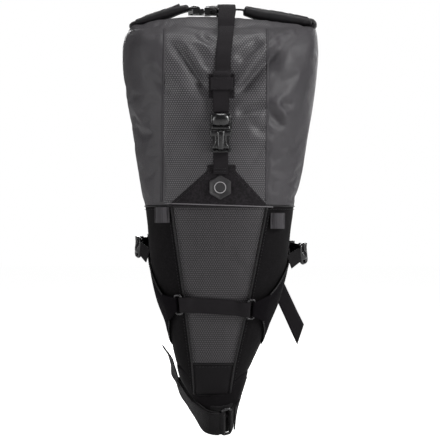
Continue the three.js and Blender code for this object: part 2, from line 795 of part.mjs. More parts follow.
function addRollEnds() {
  for (const [side, stations] of Object.entries(ROLL_ENDS))
    addMesh(`roll_end_${side}`, rollSection(stations, 0.9, 0.9), "black_fabric");
}

// The roll, slotted lengthwise for its stiffening strip.
function addRoll() {
  const stations = [
    [-107, 491.4], [-95, 492], ...ROLL_MIDDLE,
    [104, 489.6], [113, 489.2], [117.6, 491.6], [118.8, 496.2],
  ];
  const slotLine = [[-89, 493.3], ...ROLL_MIDDLE, [101, 489.9]];
  const slot = strap(alongRoll(slotLine, 2, -1.3), 28, 2.6);
  addMesh("roll_closure", cut(rollSection(stations, 0.8, 0.9), slot), "grey_fabric");

  const stripLine = [[-86, 494], ...ROLL_MIDDLE, [98, 490.4]];
  addMesh("roll_stiffener", strap(alongRoll(stripLine, -0.6, -0.6), 21, 1.2), "board");
}

// Buckle over the middle of the roll, and the webbing that joins it to the rolled ends.
function addClosureBuckle() {
  addBuckle("closure_buckle", {
    origin: vec(-6.5, ROLL_Y, 515.6),
    across: Y_AXIS,
    along: vec(-1, 0, 0),
    out: Z_AXIS,
  });
  // x, z
  const webs = {
    left: [[-39.6, 521.0], [-37.6, 518.6], [-35.2, 516.6], [-32.9, 515.8]],
    right: [[19.9, 515.2], [24, 515.8], [31, 518.2], [40, 518.0], [49.2, 516.8]],
  };
  for (const [side, points] of Object.entries(webs))
    addMesh(`closure_web_${side}`, strap(alongRoll(points, ROLL_Y), 18, 1.1), "webbing");
}

// ---------------------------------------------------------------- saddle-rail straps
const SADDLE_STRAP_Z = 198;
// Buckle frame, and the height and angle at which the wing's tab meets the bag's side.
const SADDLE_SIDES = {
  left: {
    origin: vec(-80.5, 27, 205),
    along: vec(0.75, 0.65, 0.1).normalize(),
    out: vec(-0.655, 0.756, 0).normalize(),
    tabZ: 198,
    tabPhi: -Math.PI + 0.12,
  },
  right: {
    origin: vec(104.5, 26, 196),
    along: vec(-0.75, 0.65, 0.1).normalize(),
    out: vec(0.655, 0.756, 0).normalize(),
    tabZ: 190,
    tabPhi: -0.12,
  },
};

// From the sewn anchor, over the rail gap, to the male half.
function addSaddleStrap(side, { origin, along, out }, across) {
  // distance from the bag's centre, height above its back
  const stations = [
    [4, 0.5], [10.5, 0.5], [14.5, 5], [17, 11.5], [19, 13.6],
    [25, 13.6], [27, 11.5], [29.5, 5], [34, 1.0], [46, 0.6],
  ];
  const { centreX, backY } = profileAt(SADDLE_STRAP_Z);
  const path = planePath(stations, {
    origin: vec(centreX, backY + 0.5, SADDLE_STRAP_Z),
    u: vec(SIDES[side], 0, 0),
    v: Y_AXIS,
    across: vec(0, 0.096, 1),
  });
  for (const [alongBuckle, outOfBuckle] of [[32, -6.0], [17, -5.7]]) {
    const point = shifted(origin, [along, alongBuckle], [out, outOfBuckle]);
    path.push({ point, across, normal: out });
  }
  addMesh(`saddle_strap_${side}`, strap(path, WEB_WIDTH, WEB_THICKNESS), "webbing");
}

// Webbing from the wing to the female half.
function addWingTab(side, { origin, along, out, tabZ, tabPhi }, across) {
  const normal = bagNormal(tabPhi, tabZ);
  const start = shifted(onBag(tabPhi, tabZ - 8), [normal, 3.2]);
  const raised = shifted(onBag(tabPhi, tabZ - 4), [normal, 5]);
  const end = shifted(origin, [along, -26.6], [out, -1.0]);
  const path = [
    { point: start, across: vec(0, 0.25, 0.97), normal },
    { point: end.clone().lerp(raised, 0.5), across: vec(0, 0.2, 0.98), normal },
    { point: end, across, normal: out },
  ];
  addMesh(`wing_tab_${side}`, strap(path, SIDE_WEB_WIDTH, 1.2), "webbing");
}

function addSaddleSides() {
  for (const [side, place] of Object.entries(SADDLE_SIDES)) {
    const across = place.along.clone().cross(place.out).normalize();
    addBuckle(`saddle_buckle_${side}`, { ...place, across });
    const upwards = across.clone().multiplyScalar(-SIDES[side]); // across, turned towards +Z
    addSaddleStrap(side, place, upwards);
    addWingTab(side, place, upwards);
  }
}

// Loose tails below the male halves; centre points are x, y, z.
function addSaddleTails() {
  const rightPoints = [
    [70, 58.5, 196], [72.5, 60, 186], [78, 58, 172],
    [92, 50, 142], [106, 44, 112], [120.2, 42, 81.6],
  ];
  const leftPoints = [
    [-47.5, 59, 205], [-49, 60.5, 196], [-50, 58, 178],
    [-49, 52, 150], [-46, 47, 120], [-42, 44, 95],
  ];
  const tailCells = (points, across, normal) =>
    strapCells(points.map((point) => ({ point: vec(...point), across, normal })), SIDE_WEB_WIDTH);

  const rightCells = tailCells(rightPoints, vec(0.9, 0, 0.43), vec(0, -1, 0));
  const [innerCorner, outerCorner] = rightCells.at(-1); // the free end is cut at a slant
  innerCorner.point.add(vec(3.8, 0, -9.5));
  outerCorner.point.add(vec(-4.2, 0, 10));
  addMesh("saddle_tail_right", sheet(rightCells, WEB_THICKNESS), "webbing");

  const leftCells = tailCells(leftPoints, vec(0.96, 0, -0.1), Y_AXIS);
  addMesh("saddle_tail_left", sheet(leftCells, WEB_THICKNESS), "webbing");
}

// ---------------------------------------------------------------- seatpost strap
// A hook-and-loop band that hangs as a loop below the nose. LOOP_AXIS is the loop's axis and
// LOOP_BACK points back and up across the loop.
const BAND_WIDTH = 38;
const BAND_THICKNESS = 2.0;
const BAND_TILT = radians(35);
const LOOP_AXIS = vec(0, -Math.sin(BAND_TILT), Math.cos(BAND_TILT));
const LOOP_BACK = vec(0, Math.cos(BAND_TILT), Math.sin(BAND_TILT));
const BAND_ORIGIN = shifted(vec(0, 0, 12), [LOOP_AXIS, -22]);

// x, distance along LOOP_BACK
const BAND_LINE = [
  [-41.5, 31], [-37.5, 22], [-33.2, 12], [-29.2, 2], [-24.8, -8],
  [-19, -20], [-12.5, -32], [-6.5, -40.5], [2, -44.8], [9.6, -45.4],
];
const TAB_LINE = [[29.0, -37.0], [31.0, -28], [32.4, -14], [34.2, 0], [37.5, 14], [41.5, 31]];

// A band path whose width leans outwards, towards the top, at the sides of the loop.
function bandPath(line, flip) {
  const plane = { origin: BAND_ORIGIN, u: X_AXIS, v: LOOP_BACK, across: LOOP_AXIS };
  return planePath(line, plane, { flip }).map((station, i) => {
    const [x, back] = line[i];
    const lean = 0.24 * Math.sign(x) * clamp((back + 38) / 24, 0, 1);
    return { ...station, across: shifted(LOOP_AXIS, [X_AXIS, lean]).normalize() };
  });
}

function addSeatpostBand() {
  const path = bandPath(BAND_LINE, -1);
  addMesh("seatpost_strap", strap(path, BAND_WIDTH, BAND_THICKNESS), "webbing");
}

// Rectangular ring, long side along the band's width.
function addSeatpostRing() {
  const centre = shifted(BAND_ORIGIN, [X_AXIS, 19.2], [LOOP_BACK, -43]);
  const shortAxis = shifted(vec(0.93, 0, 0), [LOOP_BACK, 0.36]).normalize();
  const ring = wireLoop(centre, LOOP_AXIS, shortAxis, { long: 46, short: 15, radius: 1.9 });
  addMesh("seatpost_ring", ring, "plastic");
}

function addSeatpostTab() {
  addMesh("seatpost_tab", strap(bandPath(TAB_LINE, 1), BAND_WIDTH, BAND_THICKNESS), "webbing");
}

// Free end: it lies back over the band, then rises up the left side of the nose.
function addSeatpostFlap() {
  const overBand = bandPath(BAND_LINE, -1).reverse().map((station) => ({
    ...station,
    point: shifted(station.point, [station.normal, BAND_THICKNESS + 1.2]),
  }));
  const noseAcross = vec(0, -0.93, 0.37);
  // x, y, z, turn from the loop's axis to noseAcross, width
  const upNose = [
    [-48.5, 34, 25, 0.4, 34],
    [-51.5, 26, 39, 0.75, 34],
    [-55.5, 17, 52, 1, 30],
    [-61.0, 9, 63, 1, 30],
  ].map(([x, y, z, turn, width]) => ({
    point: vec(x, y, z),
    across: LOOP_AXIS.clone().lerp(noseAcross, turn).normalize(),
    normal: vec(-0.93, 0, 0.36),
    width,
  }));
  addMesh("seatpost_flap", strap([...overBand, ...upNose], BAND_WIDTH - 2, 1.6), "webbing");
}

// ---------------------------------------------------------------- assembly
addPanels();
addUpperBody();
addNoseCap();
addSeatpostPad();
addNoseStiffener();
addLiner();
addYoke();
addEmblem();
addPiping();
addLightLoops();
addRings();
addBridgeStrap();
addWings();
addBuckle("compression_buckle", frontFrame(BUCKLE_X, 351.5, 8.2));
addBuckleTab();
addKeeper();
addCompressionStrap();
addRollEnds();
addRoll();
addClosureBuckle();
addSaddleSides();
addSaddleTails();
addSeatpostBand();
addSeatpostRing();
addSeatpostTab();
addSeatpostFlap();

export default group;
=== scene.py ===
# Saddle bag: the looks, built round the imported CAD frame.
# Frame: +Z from the nose to the roll closure, -Y out of the face with the compression strap, +X right. Metres.
import json
import math

import bmesh
import bpy
import numpy as np
from mathutils import Matrix, Vector
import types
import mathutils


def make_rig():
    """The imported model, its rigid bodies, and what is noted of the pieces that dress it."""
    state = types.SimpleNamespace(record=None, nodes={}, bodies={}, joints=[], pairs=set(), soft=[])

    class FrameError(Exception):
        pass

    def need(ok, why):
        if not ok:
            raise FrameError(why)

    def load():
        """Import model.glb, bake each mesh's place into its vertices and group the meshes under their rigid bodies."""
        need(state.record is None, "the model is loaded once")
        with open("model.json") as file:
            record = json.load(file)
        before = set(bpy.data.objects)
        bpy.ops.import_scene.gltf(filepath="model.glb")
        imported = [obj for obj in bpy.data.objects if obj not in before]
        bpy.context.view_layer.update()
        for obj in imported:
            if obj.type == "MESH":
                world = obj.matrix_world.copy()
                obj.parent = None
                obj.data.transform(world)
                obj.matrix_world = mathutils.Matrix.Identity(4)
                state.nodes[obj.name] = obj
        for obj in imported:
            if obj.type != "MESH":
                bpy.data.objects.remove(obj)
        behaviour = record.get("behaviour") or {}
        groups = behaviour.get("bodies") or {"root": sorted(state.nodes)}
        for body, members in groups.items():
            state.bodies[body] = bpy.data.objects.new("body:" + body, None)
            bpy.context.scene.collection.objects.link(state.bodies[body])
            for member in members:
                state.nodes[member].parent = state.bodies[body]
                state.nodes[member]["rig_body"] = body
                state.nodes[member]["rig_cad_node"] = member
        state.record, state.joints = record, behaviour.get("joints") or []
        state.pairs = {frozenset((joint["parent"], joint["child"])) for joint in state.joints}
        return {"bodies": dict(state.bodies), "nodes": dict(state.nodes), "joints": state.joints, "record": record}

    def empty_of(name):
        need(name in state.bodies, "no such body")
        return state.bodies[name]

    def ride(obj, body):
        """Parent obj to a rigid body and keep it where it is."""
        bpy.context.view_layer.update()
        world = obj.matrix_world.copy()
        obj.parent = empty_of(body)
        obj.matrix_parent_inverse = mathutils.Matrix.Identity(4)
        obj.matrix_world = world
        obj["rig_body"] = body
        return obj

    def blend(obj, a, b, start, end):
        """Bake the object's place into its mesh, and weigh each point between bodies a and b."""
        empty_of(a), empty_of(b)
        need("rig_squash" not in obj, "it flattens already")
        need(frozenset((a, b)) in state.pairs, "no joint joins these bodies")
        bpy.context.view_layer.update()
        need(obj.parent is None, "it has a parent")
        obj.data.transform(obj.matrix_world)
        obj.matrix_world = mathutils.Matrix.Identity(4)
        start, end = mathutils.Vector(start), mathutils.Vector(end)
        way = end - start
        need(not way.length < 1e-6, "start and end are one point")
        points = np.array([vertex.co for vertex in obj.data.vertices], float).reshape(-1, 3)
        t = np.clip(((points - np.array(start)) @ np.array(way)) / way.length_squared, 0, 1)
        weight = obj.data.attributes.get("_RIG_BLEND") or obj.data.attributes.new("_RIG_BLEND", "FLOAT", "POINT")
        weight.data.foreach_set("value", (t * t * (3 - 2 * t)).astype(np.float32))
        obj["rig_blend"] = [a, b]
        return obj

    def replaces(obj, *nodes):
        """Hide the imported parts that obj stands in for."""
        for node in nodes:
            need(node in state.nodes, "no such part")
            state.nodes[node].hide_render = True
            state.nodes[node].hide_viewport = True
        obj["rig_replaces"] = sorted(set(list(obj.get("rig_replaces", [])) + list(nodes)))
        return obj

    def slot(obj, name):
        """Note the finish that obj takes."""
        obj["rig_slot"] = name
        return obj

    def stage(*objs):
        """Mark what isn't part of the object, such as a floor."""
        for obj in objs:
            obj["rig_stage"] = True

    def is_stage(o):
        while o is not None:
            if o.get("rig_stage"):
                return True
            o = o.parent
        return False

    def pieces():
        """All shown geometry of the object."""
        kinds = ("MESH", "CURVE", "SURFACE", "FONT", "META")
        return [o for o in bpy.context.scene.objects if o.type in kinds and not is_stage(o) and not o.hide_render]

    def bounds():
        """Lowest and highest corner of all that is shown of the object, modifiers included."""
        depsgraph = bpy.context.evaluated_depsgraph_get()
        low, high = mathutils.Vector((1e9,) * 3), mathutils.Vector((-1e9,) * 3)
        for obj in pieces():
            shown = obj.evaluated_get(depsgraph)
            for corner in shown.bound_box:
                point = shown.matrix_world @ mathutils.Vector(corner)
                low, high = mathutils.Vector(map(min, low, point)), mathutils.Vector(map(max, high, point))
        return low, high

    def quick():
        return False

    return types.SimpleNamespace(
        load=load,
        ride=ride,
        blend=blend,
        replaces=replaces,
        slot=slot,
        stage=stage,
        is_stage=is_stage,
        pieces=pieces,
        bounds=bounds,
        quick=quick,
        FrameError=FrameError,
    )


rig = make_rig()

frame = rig.load()
CAD_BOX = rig.bounds()
NODES = frame["nodes"]
MM = 0.001
rng = np.random.default_rng(7)

# ------------------------------------------------------------------ shape of the bag (mm)
PROFILE = np.array([
    [5, 26.0, 0.4, -28, 26, 2.8],
    [11, 30.4, 0.7, -31, 27.5, 2.8],
    [20, 36.6, 1.2, -35, 29, 2.75],
    [42, 47.6, 2.3, -42, 32, 2.7],
    [74, 59.6, 6.0, -50, 35, 2.6],
    [106, 70.0, 7.7, -58, 38, 2.6],
    [137, 80.5, 8.1, -65, 41, 2.6],
    [180, 90.0, 9.2, -74, 45, 2.6],
    [232, 95.2, 9.7, -83, 50, 2.5],
    [275, 102.3, 10.1, -90, 54, 2.4],
    [338, 112.9, 10.5, -98, 60, 2.35],
    [401, 123.4, 10.5, -103, 65, 2.35],
    [440, 128.6, 10.5, -102, 65, 2.4],
    [462, 129.4, 10.5, -96, 60, 2.5],
    [478, 129.0, 10.5, -84, 51, 2.6],
    [488, 127.4, 10.8, -66, 38, 2.8],
    [495, 124.0, 11.2, -45, 24, 3.0],
], float)
SEAM_Z = 256.0
EDGE = np.array([[5, 22.5, 0], [47, 27.7, 1.8], [132, 42.2, 6.2], [256, 62.5, 9.6]], float)


def _pchip(xs, ys, x):
    """Monotone cubic through the keys, so the surface has no facets and stays on the CAD's keys."""
    h = np.diff(xs)
    d = np.diff(ys) / h
    m = np.zeros(len(xs))
    m[0], m[-1] = d[0], d[-1]
    for i in range(1, len(xs) - 1):
        if d[i - 1] * d[i] > 0:
            w1, w2 = 2 * h[i] + h[i - 1], h[i] + 2 * h[i - 1]
            m[i] = (w1 + w2) / (w1 / d[i - 1] + w2 / d[i])
    i = np.clip(np.searchsorted(xs, x) - 1, 0, len(xs) - 2)
    t = np.clip((x - xs[i]) / h[i], 0, 1)
    return (
        ys[i] * (1 + 2 * t) * (1 - t) ** 2
        + m[i] * h[i] * t * (1 - t) ** 2
        + ys[i + 1] * t * t * (3 - 2 * t)
        + m[i + 1] * h[i] * t * t * (t - 1)
    )


def prof(z):
    z = np.asarray(z, float)
    return [_pchip(PROFILE[:, 0], PROFILE[:, k], z) for k in range(1, 6)]


def on_bag(phi, z):
    phi, z = np.broadcast_arrays(np.asarray(phi, float), np.asarray(z, float))
    a, xc, yf, yb, n = prof(z)
    c, s = np.cos(phi), np.sin(phi)
    x = xc + a * np.sign(c) * np.abs(c) ** (2 / n)
    y = (yf + yb) / 2 + (yb - yf) / 2 * np.sign(s) * np.abs(s) ** (2 / n)
    return np.stack([x, y, z], -1)


def bag_normal(phi, z):
    e, h = 0.03, 3.0
    u = on_bag(phi + e, z) - on_bag(phi - e, z)
    v = on_bag(phi, np.minimum(z + h, 494)) - on_bag(phi, np.maximum(z - h, 5))
    n = np.cross(u, v)
    return n / np.linalg.norm(n, axis=-1, keepdims=True)


def phi_at_x(x, z, side=-1):
    a, xc, _, _, n = prof(z)
    q = np.clip((x - xc) / a, -0.9999, 0.9999)
    return side * np.arccos(np.sign(q) * np.abs(q) ** (n / 2))


def edge_x(z, side):
    hw = np.interp(z, EDGE[:, 0], EDGE[:, 1])
    xc = np.interp(z, EDGE[:, 0], EDGE[:, 2])
    return xc + side * hw


def front(x, z, off=0.0):
    p = phi_at_x(x, z)
    return on_bag(p, z) + bag_normal(p, z) * np.asarray(off)[..., None]


def unit(v):
    v = np.asarray(v, float)
    return v / np.maximum(np.linalg.norm(v, axis=-1, keepdims=True), 1e-12)


def smooth(e0, e1, x):
    t = np.clip((np.asarray(x, float) - e0) / (e1 - e0), 0, 1)
    return t * t * (3 - 2 * t)


def value_noise(p, scale, seed=0):
    """Smooth deterministic noise in -1..1 at points p (n, 3), in mm."""
    q = np.asarray(p, float) / scale + seed * 17.13
    i = np.floor(q).astype(np.int64)
    f = q - i
    f = f * f * (3 - 2 * f)
    out = np.zeros(q.shape[:-1])
    for dx in (0, 1):
        for dy in (0, 1):
            for dz in (0, 1):
                k = (i[..., 0] + dx) * 374761393 + (i[..., 1] + dy) * 668265263 + (i[..., 2] + dz) * 2147483647 + seed * 144269
                k = (k ^ (k >> 13)) * 1274126177
                h = ((k ^ (k >> 16)) & 0xFFFF) / 32767.5 - 1
                w = (f[..., 0] if dx else 1 - f[..., 0]) * (f[..., 1] if dy else 1 - f[..., 1]) * (f[..., 2] if dz else 1 - f[..., 2])
                out += w * h
    return out


# ------------------------------------------------------------------ mesh helpers
def new_object(name, verts, faces, uvs=None, mat=None, smooth_shade=True):
    me = bpy.data.meshes.new(name)
    me.from_pydata([tuple(v) for v in np.asarray(verts, float) * MM], [], [tuple(map(int, f)) for f in faces])
    if uvs is not None:
        layer = me.uv_layers.new(name="uv")
        idx = np.zeros(len(me.loops), np.int32)
        me.loops.foreach_get("vertex_index", idx)
        layer.data.foreach_set("uv", np.asarray(uvs, np.float32)[idx].ravel())
    if smooth_shade:
        me.polygons.foreach_set("use_smooth", np.ones(len(me.polygons), bool))
    me.update()
    me.validate()
    ob = bpy.data.objects.new(name, me)
    bpy.context.scene.collection.objects.link(ob)
    if mat:
        me.materials.append(mat)
    return ob


def apply_modifiers(ob):
    dg = bpy.context.evaluated_depsgraph_get()
    dg.update()
    me = bpy.data.meshes.new_from_object(ob.evaluated_get(dg), preserve_all_data_layers=True, depsgraph=dg)
    old = ob.data
    ob.modifiers.clear()
    ob.data = me
    bpy.data.meshes.remove(old)
    return ob


def grid_faces(ni, nj, closed_i=False, start=0):
    i = np.arange(ni if closed_i else ni - 1)
    j = np.arange(nj - 1)
    I, J = np.meshgrid(i, j, indexing="ij")
    a = start + (I % ni) * nj + J
    b = start + ((I + 1) % ni) * nj + J
    return np.stack([a, b, b + 1, a + 1], -1).reshape(-1, 4)


def slab(name, P, N, t, mat, uv=None, closed_i=False, lips=True):
    """A cloth sheet of thickness t (mm) raised from the grid P along N, closed at its rims. uv is a grid of mm."""
    P, N = np.asarray(P, float), np.asarray(N, float)
    ni, nj = P.shape[:2]
    tt = np.asarray(t, float)
    tt = tt[..., None] if tt.ndim else tt
    top, bot = P + N * tt, P
    verts = np.concatenate([top.reshape(-1, 3), bot.reshape(-1, 3)])
    f1 = grid_faces(ni, nj, closed_i)
    f2 = grid_faces(ni, nj, closed_i, ni * nj)[:, ::-1]
    faces = [tuple(f) for f in f1] + [tuple(f) for f in f2]
    off = ni * nj
    rows = ni if closed_i else ni - 1
    for i in range(rows):
        a, b = i * nj, ((i + 1) % ni) * nj
        faces.append((a, a + off, b + off, b))
        a, b = a + nj - 1, b + nj - 1
        faces.append((b, b + off, a + off, a))
    if not closed_i:
        for j in range(nj - 1):
            faces.append((j + 1, j + 1 + off, j + off, j))
            a = (ni - 1) * nj + j
            faces.append((a, a + off, a + 1 + off, a + 1))
    uvs = None
    if uv is None:
        du = np.concatenate([[0], np.cumsum(np.linalg.norm(np.diff(P[:, nj // 2], axis=0), axis=1))])
        dv = np.concatenate([[0], np.cumsum(np.linalg.norm(np.diff(P[ni // 2], axis=0), axis=1))])
        uv = np.stack(np.meshgrid(du, dv - dv[-1] / 2, indexing="ij"), -1)
    uv = np.asarray(uv, float).reshape(-1, 2) * MM
    uvs = np.concatenate([uv, uv])
    # faces point out when the top of the sheet is counter-clockwise seen from outside
    n0 = np.cross(P[min(1, ni - 1), 0] - P[0, 0], P[0, min(1, nj - 1)] - P[0, 0])
    if np.dot(n0, N[0, 0]) < 0:
        faces = [f[::-1] for f in faces]
    return new_object(name, verts, faces, uvs, mat)


def spline(points, n, closed=False):
    """n points spaced evenly along a Catmull-Rom curve through points (k, d)."""
    pts = np.asarray(points, float)
    k = len(pts)
    seg = k if closed else k - 1
    if closed:
        P = lambda i: pts[i % k]
    else:
        P = lambda i: pts[i] if 0 <= i < k else (2 * pts[0] - pts[1] if i < 0 else 2 * pts[-1] - pts[-2])
    out = []
    for s in range(seg):
        p0, p1, p2, p3 = P(s - 1), P(s), P(s + 1), P(s + 2)
        for t in np.linspace(0, 1, 24, endpoint=False):
            out.append(0.5 * (2 * p1 + (p2 - p0) * t + (2 * p0 - 5 * p1 + 4 * p2 - p3) * t * t + (3 * p1 - p0 - 3 * p2 + p3) * t ** 3))
    out.append(pts[0] if closed else pts[-1])
    out = np.array(out)
    d = np.concatenate([[0], np.cumsum(np.linalg.norm(np.diff(out, axis=0), axis=1))])
    at = np.linspace(0, d[-1], n + 1 if closed else n)
    if closed:
        at = at[:-1]
    return np.stack([np.interp(at, d, out[:, c]) for c in range(out.shape[1])], -1)


def ribbon(name, centre, across, normal, width, t, mat, crown=0.0, cols=7, step=2.0, wave=0.0, seed=1, n=None):
    """Webbing: rows run across the width. centre/across/normal are key points along its length (mm)."""
    centre = np.asarray(centre, float)
    m = len(centre)
    width = np.broadcast_to(np.asarray(width, float), (m,))
    keys = np.concatenate([centre, unit(np.broadcast_to(across, (m, 3))) * 10, unit(np.broadcast_to(normal, (m, 3))) * 10, width[:, None]], 1)
    length = np.linalg.norm(np.diff(centre, axis=0), axis=1).sum()
    n = n or max(6, int(length / step))
    seg = spline(centre, 400)
    # carry the other keys along by arc length of the key points
    dk = np.concatenate([[0], np.cumsum(np.linalg.norm(np.diff(centre, axis=0), axis=1))])
    C = spline(centre, n)
    ds = np.linspace(0, dk[-1], n)
    rest = np.stack([_pchip(dk, keys[:, c], ds) if m > 2 else np.interp(ds, dk, keys[:, c]) for c in range(3, 10)], -1)
    W, Nn, wd = unit(rest[:, :3]), unit(rest[:, 3:6]), rest[:, 6]
    T = unit(np.gradient(C, axis=0))
    Nn = unit(Nn - T * (Nn * T).sum(1, keepdims=True))
    W = unit(W - T * (W * T).sum(1, keepdims=True))
    Nn = unit(Nn - W * (Nn * W).sum(1, keepdims=True))
    s = np.linspace(-0.5, 0.5, cols)
    P = C[:, None] + W[:, None] * (wd[:, None] * s)[..., None]
    P = P + Nn[:, None] * (crown * (1 - (2 * s) ** 2))[None, :, None]
    if wave:
        P = P + Nn[:, None] * (wave * value_noise(C * [1, 1, 1], 26, seed))[:, None, None]
    N = np.broadcast_to(Nn[:, None], P.shape)
    uv = np.stack([np.broadcast_to((s * 20.0)[None], (n, cols)), np.broadcast_to(np.linspace(0, length, n)[:, None], (n, cols))], -1)
    ob = slab(name, P, N, t, mat, uv=uv)
    bevel = ob.modifiers.new("edge", "BEVEL")
    bevel.width, bevel.segments, bevel.limit_method, bevel.angle_limit = 0.35 * MM, 2, "ANGLE", math.radians(50)
    return apply_modifiers(ob)


def sweep(name, path, section, mat, closed=False, uv_scale=1.0, up=None, cap=True):
    """Sweeps a closed 2-D section (k, 2) or one per point (m, k, 2) along path (m, 3), with the section's first axis along `up`."""
    path = np.asarray(path, float)
    m = len(path)
    T = unit(np.roll(path, -1, 0) - np.roll(path, 1, 0)) if closed else unit(np.gradient(path, axis=0))
    up = np.broadcast_to(np.asarray(up if up is not None else (0, 0, 1), float), (m, 3))
    A = unit(up - T * (up * T).sum(1, keepdims=True))
    B = np.cross(T, A)
    sec = np.broadcast_to(np.asarray(section, float), (m,) + np.shape(section)[-2:])
    k = sec.shape[1]
    V = path[:, None] + A[:, None] * sec[..., :1] + B[:, None] * sec[..., 1:]
    faces = []
    rows = m if closed else m - 1
    for i in range(rows):
        for j in range(k):
            a, b = i * k + j, ((i + 1) % m) * k + j
            c, d = ((i + 1) % m) * k + (j + 1) % k, i * k + (j + 1) % k
            faces.append((a, d, c, b))
    if not closed and cap:
        faces.append(tuple(range(k))[::-1])
        faces.append(tuple((m - 1) * k + j for j in range(k)))
    d = np.concatenate([[0], np.cumsum(np.linalg.norm(np.diff(path, axis=0), axis=1))])
    per = np.concatenate([[0], np.cumsum(np.linalg.norm(np.diff(sec[0], axis=0), axis=1))])
    uv = np.stack(np.meshgrid(d, per, indexing="ij"), -1).reshape(-1, 2) * MM
    ob = new_object(name, V.reshape(-1, 3), faces, uv, mat)
    bm = bmesh.new()
    bm.from_mesh(ob.data)
    bmesh.ops.recalc_face_normals(bm, faces=bm.faces)
    bm.to_mesh(ob.data)
    bm.free()
    return ob


def circle(r, k=10, r2=None):
    a = np.arange(k) / k * 2 * math.pi
    return np.stack([r * np.cos(a), (r2 or r) * np.sin(a)], -1)


def join(name, objs):
    """One object of several, keeping each one's material."""
    bm = bmesh.new()
    mats = []
    for o in objs:
        base = len(mats)
        mats += list(o.data.materials) or [None]
        before = len(bm.faces)
        bm.from_mesh(o.data)
        bm.faces.ensure_lookup_table()
        for f in bm.faces[before:]:
            f.material_index += base
    me = bpy.data.meshes.new(name)
    bm.to_mesh(me)
    bm.free()
    for m in mats:
        me.materials.append(m)
    ob = bpy.data.objects.new(name, me)
    bpy.context.scene.collection.objects.link(ob)
    for o in objs:
        d = o.data
        bpy.data.objects.remove(o)
        if d.users == 0:
            bpy.data.meshes.remove(d)
    return ob


def stitches(name, points, normals, mat, pitch=4.2, length=2.7, r=0.32, lift=0.12):
    """A row of sewn stitches: short rounded threads lying along a line on the cloth (mm)."""
    points, normals = np.asarray(points, float), np.asarray(normals, float)
    d = np.concatenate([[0], np.cumsum(np.linalg.norm(np.diff(points, axis=0), axis=1))])
    total = d[-1]
    verts, faces = [], []
    for s in np.arange(pitch / 2, total - pitch / 2, pitch):
        ps = [np.array([np.interp(s + q * length, d, points[:, c]) for c in range(3)]) for q in (-0.5, -0.25, 0.25, 0.5)]
        n = unit(np.array([np.interp(s, d, normals[:, c]) for c in range(3)]))
        t = unit(ps[3] - ps[0])
        b = np.cross(t, n)
        base = len(verts)
        for q, p in enumerate(ps):
            rr = r * (0.35 if q in (0, 3) else 1.0)
            up = lift + (0 if q in (0, 3) else 0.18)
            for k in range(5):
                a = 2 * math.pi * k / 5
                verts.append(p + n * (up + rr * math.sin(a)) + b * rr * math.cos(a))
        for q in range(3):
            for k in range(5):
                a0, a1 = base + q * 5 + k, base + q * 5 + (k + 1) % 5
                faces.append((a0, a1, a1 + 5, a0 + 5))
        faces.append(tuple(base + k for k in range(5))[::-1])
        faces.append(tuple(base + 15 + k for k in range(5)))
    if not verts:
        return None
    return new_object(name, verts, faces, None, mat)


